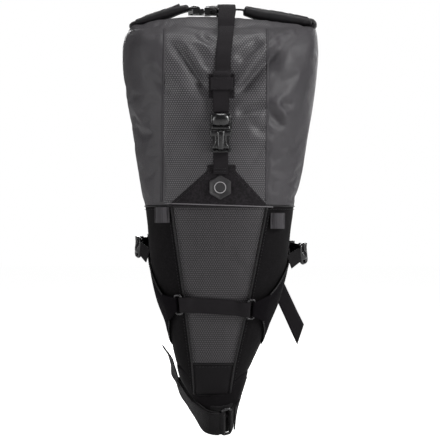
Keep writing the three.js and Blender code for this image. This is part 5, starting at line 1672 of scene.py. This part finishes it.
roll_line = [(-107, 491.6), (-95, 492.2), (-75, 496.8), (-45, 501.0), (-15, 502.9), (15, 502.9), (45, 499.2), (75, 494.2), (104, 490), (116, 490), (126, 491.4), (131, 494)]
ob = roll_tube("roll_closure_cloth", roll_line, GREY_HEX_FINE, 32, (11, 12, 12.6, 12, 11.6, 11.6, 11.6, 11.6, 11.4, 11.2, 10.6, 9), (0.8, 0.9), seed=41, n=130, tip=4)
ride(ob, "roll", "roll_closure", slot="grey_ripstop")
armL = [(-30.5, 521.0), (-46, 517.4), (-62, 512.5), (-76, 508.2), (-88, 504.5), (-103, 500.2)]
armR = [(135, 500.2), (124, 502.2), (105, 505.2), (85, 508.4), (61, 512.6), (41.5, 517.6)]
ob = roll_tube("roll_end_left_cloth", armL, ROLL_BLACK, 32, (9.6, 12.8, 15.0, 15.0, 13.0, 9.0), (0.5, 0.5), seed=43, n=70, tip=3)
ride(ob, "closure_male", "roll_end_left", slot="black_coated")
ob = roll_tube("roll_end_right_cloth", armR, ROLL_BLACK, 32, (11.0, 13.4, 16.8, 17.8, 17.2, 13.4), (0.5, 0.5), seed=45, n=80, tip=3)
ride(ob, "roll", "roll_end_right", slot="black_coated")


# the folded corners that join each end to the roll
def corner(name, pts, body_, seed, T=8):
    pts = np.asarray(pts, float)
    ob_ = roll_tube(name, pts, ROLL_BLACK, 30, T, (0.5, 0.5), seed=seed, n=34, tip=4)
    return ride(ob_, body_, slot="black_coated")


corner("roll_corner_right", [(124, 492.5), (132.5, 494.0), (136.2, 498.0), (133.5, 502.0), (126, 503.6)], "roll", 47, 8.5)
corner("roll_corner_left", [(-97, 492.6), (-104.5, 493.2), (-107.6, 496.4), (-104, 499.6), (-97, 502.0)], "roll", 49, 7)
# a flap of the folded end lies along each arm, so the fold shows as a step
for nm, line_, w_, bdy, sd in (
    ("roll_fold_left", [(-44, 526.4), (-56, 521.6), (-70, 517.8), (-84, 512.8), (-96, 507.6)], 22, "closure_male", 61),
    ("roll_fold_right", [(128, 508.6), (114, 511.4), (98, 514.2), (80, 516.8), (62, 520.2)], 22, "roll", 63),
):
    C_ = np.array([[x, -11.0, z] for x, z in spline(np.array(line_, float), 40)])
    tan_ = unit(np.gradient(C_, axis=0))
    nn_ = np.stack([np.cross(t_, (0, 1, 0)) for t_ in tan_])
    nn_ = np.where(nn_[:, 2:3] < 0, -nn_, nn_)
    s_ = np.linspace(-0.5, 0.5, 15)
    P = C_[:, None] + np.array([0, 1.0, 0])[None, None] * (w_ * s_)[None, :, None]
    drop = -1.2 - 5.0 * smooth(0.25, 0.5, np.abs(s_))
    P = P + nn_[:, None] * (drop[None] + 0.35 * np.sin(np.linspace(0, 9, 40))[:, None] + 0.3 * value_noise(P, 5, sd))[..., None]
    ob = slab(nm, P, np.broadcast_to(nn_[:, None], P.shape), 0.9, ROLL_BLACK)
    ride(ob, bdy, slot="black_coated")

# webbing ends of the closure, with the buckle between them
def xz_ribbon(name, pts, w, t, mat, y=-8):
    C_ = np.array([[x, y, z] for x, z in pts])
    tan_ = unit(np.gradient(C_, axis=0))
    nn_ = np.stack([np.cross(t_, (0, 1, 0)) for t_ in tan_])
    nn_ = np.where(nn_[:, 2:3] < 0, -nn_, nn_)
    return ribbon(name, C_, (0, 1, 0), nn_, w, t, mat, step=1.5)


ob = xz_ribbon("closure_web_left_webbing", [(-44, 521.5), (-39.6, 521.0), (-37.6, 518.6), (-35.2, 516.6), (-30.5, 515.7)], 18, 1.1, WEB)
ride(ob, "closure_male", "closure_web_left", slot="webbing")
ob = xz_ribbon("closure_web_right_webbing", [(17.5, 515.1), (24, 515.8), (31, 518.2), (40, 518.0), (52, 516.6)], 18, 1.1, WEB)
ride(ob, "roll", "closure_web_right", slot="webbing")

def pillow(name, y0, y1, half, z0, h, fr, mat, nx=15, ny=25, px=2.6, py=6.0, x_mid=0.0, base=0.5):
    """A moulded cap: a rounded swelling of height h on the plane z0, half(y) wide each side of x_mid."""
    ys, ss = np.linspace(y0, y1, ny), np.sin(np.linspace(-math.pi / 2, math.pi / 2, nx))
    tt = np.linspace(-1, 1, ny)
    ys = (y0 + y1) / 2 + (y1 - y0) / 2 * np.sin(tt * math.pi / 2)
    tt = (ys - (y0 + y1) / 2) / ((y1 - y0) / 2)
    V, F = [], []
    for y, t in zip(ys, tt):
        w = half(y) if callable(half) else half
        for s in ss:
            z = z0 + h * max(0.0, 1 - abs(s) ** px) ** (1 / 2.2) * max(0.0, 1 - abs(t) ** py) ** (1 / 2.2)
            V.append((x_mid + s * w, y, z))
    for y, t in zip(ys, tt):
        w = half(y) if callable(half) else half
        for s in ss:
            V.append((x_mid + s * w, y, z0 - base))
    F += [tuple(f) for f in grid_faces(ny, nx)]
    F += [tuple(f)[::-1] for f in grid_faces(ny, nx, False, ny * nx)]
    o_ = ny * nx
    for i in range(ny - 1):
        a_, b_ = i * nx, (i + 1) * nx
        F += [(a_, b_, b_ + o_, a_ + o_), (b_ + nx - 1, a_ + nx - 1, a_ + nx - 1 + o_, b_ + nx - 1 + o_)]
    for j in range(nx - 1):
        F += [(j + 1, j, j + o_, j + 1 + o_)]
        a_ = (ny - 1) * nx + j
        F += [(a_, a_ + 1, a_ + 1 + o_, a_ + o_)]
    ob_ = new_object(name, place(V, fr), F, [(v_[0] * MM, v_[1] * MM) for v_ in V], mat)
    bm = bmesh.new()
    bm.from_mesh(ob_.data)
    bmesh.ops.recalc_face_normals(bm, faces=bm.faces)
    bm.to_mesh(ob_.data)
    bm.free()
    return ob_


# ------------------------------------------------------------------ saddle straps, tabs and tails
SIDE = {
    "right": (np.array([104.5, 26, 196.0]), unit([-0.75, 0.65, 0.1]), unit([0.655, 0.756, 0])),
    "left": (np.array([-80.5, 27, 205.0]), unit([0.75, 0.65, 0.1]), unit([-0.655, 0.756, 0])),
}
for side in ("left", "right"):
    o, L, T = SIDE[side]
    U = unit(np.cross(L, T))
    s = 1 if side == "right" else -1
    z0 = 198.0
    xc, yb = prof(z0)[1], prof(z0)[3]
    st = [(4, 0.5), (10.5, 0.5), (14.5, 5), (17, 11.5), (19, 13.6), (25, 13.6), (27, 11.5), (29.5, 5), (34, 1.0), (46, 0.6)]
    C_ = [np.array([xc + s * x, yb + 0.5 + off, z0]) for x, off in st]
    W_ = [np.array([0, 0.096, 1.0])] * len(st)
    N_ = []
    for i in range(len(C_)):
        d = C_[min(len(C_) - 1, i + 1)] - C_[max(0, i - 1)]
        N_.append(unit(np.array([-d[1], d[0], 0.0]) * s))
    Uz = U if U[2] > 0 else -U
    C_ += [o + L * 32 - T * 6.0, o + L * 17 - T * 5.7]
    W_ += [Uz, Uz]
    N_ += [T, T]
    ob = ribbon(f"saddle_strap_{side}_webbing", C_, W_, N_, 20, 1.4, WEB, step=1.6, cols=7)
    ride(ob, "bag", f"saddle_strap_{side}", slot="webbing")
    for k, dx in enumerate((3.6, 7.6)):
        pts_ = np.array([[xc + s * dx, yb + 2.3, z] for z in np.linspace(190, 206, 12)])
        ride(stitches(f"saddle_tack_{side}_{k}", pts_, np.tile((0, 1, 0), (12, 1)), THREAD, pitch=1.9, length=1.5, r=0.36), "bag")
    fem = o - L * 26.6 - T * 1.0
    zt = 190.0 if side == "right" else 198.0
    pe = -0.12 if side == "right" else -math.pi + 0.12
    nE = bag_normal(np.array(pe), np.array(zt))
    a0 = on_bag(np.array(pe), np.array(zt - 8)) + nE * 3.2
    a1 = on_bag(np.array(pe), np.array(zt - 4)) + nE * 5
    C_ = [a0, (fem + a1) / 2, fem]
    ob = ribbon(f"wing_tab_{side}_webbing", C_, [(0, 0.25, 0.97), (0, 0.2, 0.98), Uz], [nE, nE, T], [19, 18, 17], 1.2, WEB_BLACK)
    ride(ob, "bag", f"wing_tab_{side}", slot="webbing")
    # the moulded end the tab is sewn round: a domed frame with a bar across it
    dirT = unit(fem - a1)
    upT = unit(np.array([0, 0, 1.0]) - dirT * dirT[2])
    outT = unit(np.cross(dirT, upT))
    outT = outT if outT[1] < 0 else -outT
    cT = fem - dirT * 5.0 + outT * 0.8
    rr = rounded_rect(14, 25, 4.5)
    path = cT + rr[:, :1] * dirT + rr[:, 1:] * upT
    ob = sweep(f"saddle_buckle_{side}_end_frame", path, circle(2.3, 14, 1.9), PLASTIC, closed=True, up=outT)
    ride(ob, "bag", slot="buckle_plastic")
    bar = np.stack([cT + outT * 1.6 + dirT * 0.5 + upT * q for q in np.linspace(-11.5, 11.5, 16)])
    ob = sweep(f"saddle_buckle_{side}_end_bar", bar, circle(1.9, 12, 1.5), PLASTIC, up=outT)
    ride(ob, "bag", slot="buckle_plastic")
    fr_end = (cT - dirT * 5.2 + outT * 0.4 - upT * 2.0, upT, dirT, outT)
    ob = pillow(f"saddle_buckle_{side}_end_cap", -1.5, 11.0, lambda y: float(np.interp(y, [-1.5, 4, 11], [5.5, 6.5, 7.5])), 0.6, 3.4, fr_end, PLASTIC, nx=17, ny=19, px=2.4, py=2.4, base=1.2)
    ride(ob, "bag", slot="buckle_plastic")

# right tail, cut at a slant
R = unit([0.9, 0, 0.43])
pts_ = np.array([[70, 58.5, 196], [72.5, 60, 186], [78, 58, 172], [92, 50, 142], [106, 44, 112], [120.2, 42, 81.6]], float)
C_ = spline(pts_, 60)
s_ = np.linspace(-9.5, 9.5, 7)
P = C_[:, None] + R[None, None] * s_[None, :, None]
t_end = smooth(0.72, 1.0, np.linspace(0, 1, 60))
P[:, :, 0] += (t_end[:, None] * np.linspace(3.8, -4.2, 7)[None])
P[:, :, 2] += (t_end[:, None] * np.linspace(-9.5, 10, 7)[None])
T_ = unit(np.gradient(C_, axis=0))
Nn = unit(np.cross(T_, R))
Nn = np.where(Nn[:, 1:2] > 0, -Nn, Nn)
P = P + Nn[:, None] * (0.9 * np.sin(np.linspace(0, 5.5, 60)))[:, None, None]
uv = np.stack(np.broadcast_arrays(s_[None] + 0 * C_[:, :1], np.linspace(0, 130, 60)[:, None]), -1)
ob = slab("saddle_tail_right_webbing", P, np.broadcast_to(Nn[:, None], P.shape), 1.4, WEB, uv=uv)
ride(ob, "tail_right", "saddle_tail_right", slot="webbing")
pts_ = [(-47.5, 59, 205), (-49, 60.5, 196), (-50, 58, 178), (-49, 52, 150), (-46, 47, 120), (-42, 44, 95)]
ob = ribbon("saddle_tail_left_webbing", pts_, (0.96, 0, -0.1), (0, 1, 0), 19, 1.4, WEB, wave=0.8)
ride(ob, "tail_left", "saddle_tail_left", slot="webbing")

# ------------------------------------------------------------------ seatpost strap
PIVOT = np.array([0, 0, 12.0])
TAU = math.radians(35)
A_ = np.array([0, -math.sin(TAU), math.cos(TAU)])
B_ = np.array([0, math.cos(TAU), math.sin(TAU)])
X_ = np.array([1.0, 0, 0])


def band_at(x, b, c=-22.0):
    return PIVOT + X_ * x + B_ * b + A_ * c


def lean(x, b):
    return unit(A_ + X_ * 0.24 * math.copysign(1, x) * min(1, max(0, (b + 38) / 24)))


def band(name, pts, t, mat, side=1, width=38, offset=0.0, extra=None, n=None):
    """A wide strap whose width runs along the loop's axis; side picks the outward side."""
    pts = np.asarray(pts, float)
    d = np.gradient(pts, axis=0)
    nn = np.stack([-d[:, 1], d[:, 0]], -1)
    nn = nn / np.linalg.norm(nn, axis=1, keepdims=True) * side
    C_ = [band_at(x, b) + (X_ * q[0] + B_ * q[1]) * offset for (x, b), q in zip(pts, nn)]
    N_ = [X_ * q[0] + B_ * q[1] for q in nn]
    W_ = [lean(x, b) for x, b in pts]
    wd = [width] * len(pts)
    if extra:
        for c, w, n_, wdt in extra:
            C_.append(np.array(c, float))
            W_.append(unit(w))
            N_.append(unit(n_))
            wd.append(wdt)
    return ribbon(name, C_, W_, N_, wd, t, mat, step=2.0, cols=11, n=n)


inner = [(-41.5, 31), (-37.5, 22), (-33.2, 12), (-29.2, 2), (-24.8, -8), (-19, -20), (-12.5, -32), (-6.5, -40.5), (2, -44.8), (9.6, -45.4)]
in_mid = np.array(inner)
d0 = in_mid[4] - in_mid[3]
side_sign = 1 if np.dot((-d0[1], d0[0]), (-1, 0)) > 0 else -1
ob = band("seatpost_strap_band", inner, 2.0, HOOK, side=side_sign)
ride(ob, "seatpost_loop", "seatpost_strap", slot="hook_loop")
rb = np.array([19.2, -43.0])
barL, barR = rb - np.array([0.93, 0.36]) * 5.6, rb + np.array([0.93, 0.36]) * 5.6


def arc(c, r_, a0, a1, k):
    return [tuple(c + r_ * np.array([math.cos(math.radians(a_)), math.sin(math.radians(a_))])) for a_ in np.linspace(a0, a1, k)]


# left: from the outer face, round the bar, back along the inside
foldA = [(-4.0, -46.6), (2, -47.2), (8, -47.4)] + arc(barL, 2.2, -95, 75, 9) + [(9.0, -42.0), (3.0, -41.2)]
ob = band("seatpost_strap_fold", foldA, 1.5, HOOK, side=-1, width=36, n=60)
ride(ob, "seatpost_loop", slot="hook_loop")
foldB = [(30.6, -24), (29.6, -32.5)] + arc(barR, 2.2, 20, -160, 9)[0:0] + arc(barR, 2.2, 0, -190, 10) + [(25.6, -36.0), (27.6, -29.5)]
ob = band("seatpost_tab_fold", foldB, 1.5, HOOK, side=-1, width=36, n=60)
ride(ob, "seatpost_loop", slot="hook_loop")
ob = band("seatpost_ring_backing", [(-2, -39.6), (6, -40.2), (14, -39.2), (21, -36.6), (27, -31.5)], 1.2, HOOK, side=1, width=46, n=30)
ride(ob, "seatpost_loop", slot="hook_loop")
tabp = [(29.0, -37.0), (31.0, -28), (32.4, -14), (34.2, 0), (37.5, 14), (41.5, 31)]
dt = np.array(tabp[3]) - np.array(tabp[2])
ts = 1 if np.dot((-dt[1], dt[0]), (1, 0)) > 0 else -1
ob = band("seatpost_tab_band", tabp, 2.0, HOOK, side=ts)
ride(ob, "seatpost_loop", "seatpost_tab", slot="hook_loop")
rev = inner[::-1]
W2 = unit([0.06, -1.0, 0.12])
ext = []
for c, t, w_ in (((-48.5, 34, 25), 0.4, 34), ((-51.5, 26, 39), 0.75, 30), ((-55.5, 17, 52), 1.0, 30), ((-61.0, 9, 63), 1.0, 30)):
    ext.append((c, unit(A_ * (1 - t) + W2 * t), (-0.93, 0, 0.36), w_))
ob = band("seatpost_flap_band", rev, 1.6, HOOK, side=-side_sign, width=36, offset=3.2, extra=ext)
ride(ob, "seatpost_flap", "seatpost_flap", slot="hook_loop")
rc = band_at(19.2, -43)
rU = unit(X_ * 0.93 + B_ * 0.36)
rT = unit(np.cross(rU, A_))
rr = rounded_rect(15 - 3.8, 46 - 3.8, 3.0)
path = rc + rr[:, :1] * rU + rr[:, 1:] * A_
ob = sweep("seatpost_ring_moulded", path, circle(1.9, 14), RING_MAT, closed=True, up=rT)
ride(ob, "seatpost_loop", "seatpost_ring", slot="ring_plastic")

# cuff of cloth sewn round the nose; it hangs inside the strap and stays with the bag when the strap swings
loop2 = np.array([(41.5, 31), (37.5, 14), (34.2, 0), (32.4, -14), (31.0, -28), (29.0, -37.0), (26.5, -41.5), (19.2, -45.5), (9.6, -45.2), (2, -44.6), (-6.5, -40.3), (-12.5, -31.8), (-19, -19.8), (-24.8, -7.8), (-29.2, 2), (-33.2, 12), (-37.5, 22), (-41.5, 31), (-20, 33.5), (0, 34.2), (20, 33.5)], float)
cen2 = np.array([0, -2.0])


def loop_hit(phi_):
    d_ = np.array([math.cos(phi_), math.sin(phi_)])
    best = None
    for k in range(len(loop2)):
        p, q = loop2[k] - cen2, loop2[(k + 1) % len(loop2)] - cen2
        e = q - p
        den = d_[0] * (-e[1]) + d_[1] * e[0]
        if abs(den) < 1e-9:
            continue
        t = (p[0] * (-e[1]) + p[1] * e[0]) / den
        u_ = (d_[0] * p[1] - d_[1] * p[0]) / den
        if t > 0 and -1e-6 <= u_ <= 1 + 1e-6 and (best is None or t < best):
            best = t
    return cen2 + d_ * (best or 1.0)


nphi, nrow = 120, 14
angs = np.linspace(0, 2 * math.pi, nphi, endpoint=False)
P = np.zeros((nphi, nrow, 3))
for i, a_ in enumerate(angs):
    h_ = loop_hit(a_)
    front_ness = smooth(-20, -42, h_[1])
    inset = cen2 + (h_ - cen2) * (0.985 - 0.02 * front_ness)
    low = band_at(inset[0], inset[1]) + lean(inset[0], inset[1]) * (19 - 3.0 - 7.0 * front_ness)
    leftish, rightish = smooth(0.35, 1.0, -math.cos(a_)), smooth(0.35, 1.0, math.cos(a_))
    zt_ = 14.0 + 30.0 * leftish + 22.0 * rightish
    top = on_bag(np.array(a_), np.array(zt_)) + bag_normal(np.array(a_), np.array(zt_)) * (0.3 * max(leftish, rightish) - 1.7 * (1 - max(leftish, rightish)))
    for j, q in enumerate(np.linspace(0, 1, nrow)):
        pt = top * (1 - q) + low * q
        c_ = np.array([0.5, -1.0, pt[2]])
        pull = 1 - 0.06 * math.sin(q * math.pi) * (1 + 2.2 * front_ness - 2.2 * leftish - 1.6 * rightish)
        P[i, j] = c_ + (pt - c_) * [pull, pull, 1]
P += 0.0
Nn = unit(np.cross(np.roll(P, -1, 0) - np.roll(P, 1, 0), np.gradient(P, axis=1)))
flip = np.sign((Nn * (P - [0, 0, 0]))[..., :2].sum(-1))
Nn = Nn * np.where(flip == 0, 1, flip)[..., None]
P = P + Nn * (0.7 * value_noise(P * [1, 1, 0.5], 7, 71) * np.sin(np.linspace(0, 1, nrow) * math.pi)[None])[..., None]
ob = slab("nose_skirt", P, Nn, 0.9, BLACK, closed_i=True)
ride(ob, "bag", slot="black_coated")

# ------------------------------------------------------------------ nose cap and pad
n = 48
a = np.linspace(0, 2 * math.pi, n, endpoint=False)
base = on_bag(a, np.full(n, 5.0))[:, :2]
c0 = base.mean(0)
sc = lambda k: c0 + (base - c0) * k
ob = rings_solid("nose_cap_moulded", [(sc(0.05), 3.3), (sc(0.9), 3.3), (sc(0.97), 3.5), (sc(1.0), 4.1), (sc(1.0), 4.7), (sc(0.97), 5.1), (sc(0.05), 5.1)], NOSE_BLACK, (np.zeros(3), np.array([1.0, 0, 0]), np.array([0, 1.0, 0]), np.array([0, 0, 1.0])))
ride(ob, "bag", "nose_cap", slot="black_coated")
rp = lambda w, r_: rounded_rect(w, w, r_, 6)
ob = rings_solid("seatpost_pad_foam", [(rp(36, 3.5), 0.0), (rp(38.5, 4), 0.25), (rp(39.8, 4.2), 0.9), (rp(39.8, 4.2), 2.3), (rp(38.8, 4), 3.0)], FOAM, (np.zeros(3), np.array([1.0, 0, 0]), np.array([0, 1.0, 0]), np.array([0, 0, 1.0])))
ride(ob, "bag", "seatpost_pad", slot="foam")

# ------------------------------------------------------------------ moulded detail on the side-release buckles
BUCKLES = {
    "compression_buckle": (frame_at(11.6, 351.5, 8.2), "bag", "compression_male", "compression_latch_left", "compression_latch_right"),
    "closure_buckle": ((np.array([-6.5, -8, 515.6]), np.array([0, 1.0, 0]), np.array([-1.0, 0, 0]), np.array([0, 0, 1.0])), "roll", "closure_male", "closure_latch_left", "closure_latch_right"),
}
for side in ("left", "right"):
    o, L, T = SIDE[side]
    BUCKLES[f"saddle_buckle_{side}"] = ((o, unit(np.cross(L, T)), L, T), "bag", f"saddle_male_{side}", f"saddle_latch_{side}_left", f"saddle_latch_{side}_right")
for prefix, (fr, fem_body, male_body, latch_l, latch_r) in BUCKLES.items():
    waist = lambda y: float(np.interp(y, [-20, -13.6, -9, -4.6], [11.6, 7.9, 7.2, 7.4]))
    parts = [
        # female: waist swelling, the bright spine along it, and the two shoulders at the mouth
        pillow(f"{prefix}_f1", -20, -3.2, waist, 4.45, 1.5, fr, PLASTIC, py=5),
        pillow(f"{prefix}_f2", -21.5, 3.2, lambda y: float(np.interp(y, [-21.5, -16, -6, 3.2], [3.6, 4.3, 4.7, 5.3])), 5.0, 3.3, fr, PLASTIC, nx=19, ny=31, px=2.0, py=7, base=1.2),
        pillow(f"{prefix}_f5", -17.0, -2.0, 0.9, 8.05, 0.55, fr, PLASTIC, nx=7, ny=17, px=2.0, py=6, base=0.5),
        pillow(f"{prefix}_f3", -3.9, 3.4, 13.6, 4.45, 1.2, fr, PLASTIC, py=3, px=7, nx=21),
        pillow(f"{prefix}_f4", -25.1, -23.4, 12.6, 4.4, 0.7, fr, PLASTIC, py=2, px=8),
    ]
    ride(join(f"{prefix}_female_shell", parts), fem_body, slot="buckle_plastic")
    # male: the rounded hood over the webbing bar, with a step at its foot
    dome = lambda y: 3.2 + 9.0 * math.sqrt(max(0.0, 1 - ((y - 17.4) / 8.9) ** 2))
    parts = [
        pillow(f"{prefix}_m1", 8.9, 25.9, dome, 3.0, 6.0, fr, PLASTIC, nx=25, ny=35, px=2.0, py=2.2, base=2.4),
        pillow(f"{prefix}_m2", 4.3, 9.2, lambda y: float(np.interp(y, [4.3, 9.2], [13.4, 11.0])), 2.5, 1.5, fr, PLASTIC, nx=21, px=8, py=3),
        pillow(f"{prefix}_m3", 12.0, 24.0, 1.7, 2.0, 4.2, fr, PLASTIC, nx=9, ny=17, px=2.4, py=4, x_mid=-11.9, base=1.5),
        pillow(f"{prefix}_m4", 12.0, 24.0, 1.7, 2.0, 4.2, fr, PLASTIC, nx=9, ny=17, px=2.4, py=4, x_mid=11.9, base=1.5),
    ]
    ride(join(f"{prefix}_male_hood", parts), male_body, slot="buckle_plastic")
    for s, lb in ((-1, latch_l), (1, latch_r)):
        parts = [pillow(f"{prefix}_l{k}", y - 0.55, y + 0.55, 0.9, 1.85, 0.55, fr, PLASTIC, nx=7, ny=7, px=2, py=2, x_mid=s * 10.0, base=0.4) for k, y in enumerate((-6.6, -8.4, -10.2, -12.0))]
        ride(join(f"{prefix}_grip_{'left' if s < 0 else 'right'}", parts), lb, slot="buckle_plastic")

# ------------------------------------------------------------------ carried-over nodes: buckles and the hidden boards
for ob in list(bpy.context.scene.objects):
    if ob.type != "MESH" or "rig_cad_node" not in ob or ob.hide_render:
        continue
    node = ob["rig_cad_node"]
    mat = PLASTIC if "buckle" in node else (FOAM if node.endswith("stiffener") else BLACK)
    for s_ in ob.material_slots:
        s_.material = mat
    if not ob.material_slots:
        ob.data.materials.append(mat)
    if "buckle" in node:
        b = ob.modifiers.new("soft_edges", "BEVEL")
        b.width, b.segments, b.limit_method, b.angle_limit = 0.55 * MM, 3, "ANGLE", math.radians(35)
        b.use_clamp_overlap = True
        w = ob.modifiers.new("normals", "WEIGHTED_NORMAL")
        w.keep_sharp = True

# ------------------------------------------------------------------ stage, light, camera
def floor_and_light():
    sc = bpy.context.scene
    world = bpy.data.worlds.new("world")
    sc.world = world
    world.use_nodes = True
    sc.view_settings.view_transform = "Standard"
    nt = world.node_tree
    bg = nt.nodes["Background"]
    bg.inputs[0].default_value = (1, 1, 1, 1)
    # the camera sees plain white; the object is lit by less of it
    lp = nt.nodes.new("ShaderNodeLightPath")
    m = nt.nodes.new("ShaderNodeMapRange")
    m.inputs[3].default_value, m.inputs[4].default_value = 0.16, 1.0
    nt.links.new(lp.outputs["Is Camera Ray"], m.inputs[0])
    nt.links.new(m.outputs[0], bg.inputs[1])
    # a wide flat floor of pale paper, open on every side so that no view is blocked
    V_ = [(0.0, 0.0, -0.0525)]
    rings_ = (0.4, 1.2, 3.0, 6.0, 12.0)
    for r_ in rings_:
        V_ += [(r_ * math.cos(t), r_ * math.sin(t), -0.0525) for t in np.linspace(0, 2 * math.pi, 48, endpoint=False)]
    F_ = [(0, 1 + k, 1 + (k + 1) % 48) for k in range(48)]
    for j in range(len(rings_) - 1):
        a_, b_ = 1 + 48 * j, 1 + 48 * (j + 1)
        F_ += [(a_ + k, b_ + k, b_ + (k + 1) % 48, a_ + (k + 1) % 48) for k in range(48)]
    me = bpy.data.meshes.new("floor")
    me.from_pydata(V_, [], F_)
    for p in me.polygons:
        p.use_smooth = True
    floor = bpy.data.objects.new("floor", me)
    sc.collection.objects.link(floor)
    M = Mat("floor")
    M.set((0.82, 0.82, 0.82), 0.9, spec=0.05)
    lpf = M.n("ShaderNodeLightPath")
    M.bsdf.inputs["Emission Color"].default_value = (1, 1, 1, 1)
    M.link(M.math("MULTIPLY", lpf.outputs["Is Camera Ray"], 0.86), M.bsdf.inputs["Emission Strength"])
    me.materials.append(M.m)
    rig.stage(floor)

    def area(name, loc, target, size, power, color=(1, 1, 1), tall=None):
        d = bpy.data.lights.new(name, "AREA")
        d.size, d.energy, d.color = size, power, color
        if tall:
            d.shape, d.size_y = "RECTANGLE", tall
        o = bpy.data.objects.new(name, d)
        o.location = loc
        o.rotation_euler = (Vector(target) - Vector(loc)).to_track_quat("-Z", "Y").to_euler()
        sc.collection.objects.link(o)
        return o

    area("key", (1.9, -1.25, 1.35), (0, 0, 0.3), 0.8, 42)
    area("fill", (-1.9, -1.4, 0.8), (0, 0, 0.25), 1.2, 11)
    area("top", (0.1, -0.3, 2.3), (0, 0, 0.3), 1.0, 22)
    area("rim", (-0.25, 2.5, 1.2), (0, 0, 0.3), 1.1, 30)
    area("rim_right", (1.1, 2.1, 0.9), (0, 0, 0.3), 1.0, 9)
    # two upright strips whose reflections draw the edges of the mouldings
    area("strip_right", (2.2, -1.15, 0.15), (0, 0, 0.33), 0.42, 12, tall=1.0)
    area("strip_left", (-2.2, -1.15, 0.15), (0, 0, 0.33), 0.42, 11, tall=1.0)
    cam_d = bpy.data.cameras.new("camera")
    cam = bpy.data.objects.new("camera", cam_d)
    sc.collection.objects.link(cam)
    sc.camera = cam
    dist = 3.2
    cam_d.sensor_width = 36
    view_w = 440 * 1.32 * MM
    cam_d.lens = 36 * dist / view_w
    cx, cz = (220 - 212) * 1.32 * MM, (400 - 220) * 1.32 * MM
    cam.location = (cx, -dist - 0.05, cz)
    cam.rotation_euler = (math.radians(90), 0, 0)
    cam_d.clip_end = 50


floor_and_light()
lo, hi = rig.bounds()
with open("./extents.json", "w") as fh:
    json.dump({"cad": [list(CAD_BOX[0]), list(CAD_BOX[1])], "visual": [list(lo), list(hi)]}, fh)
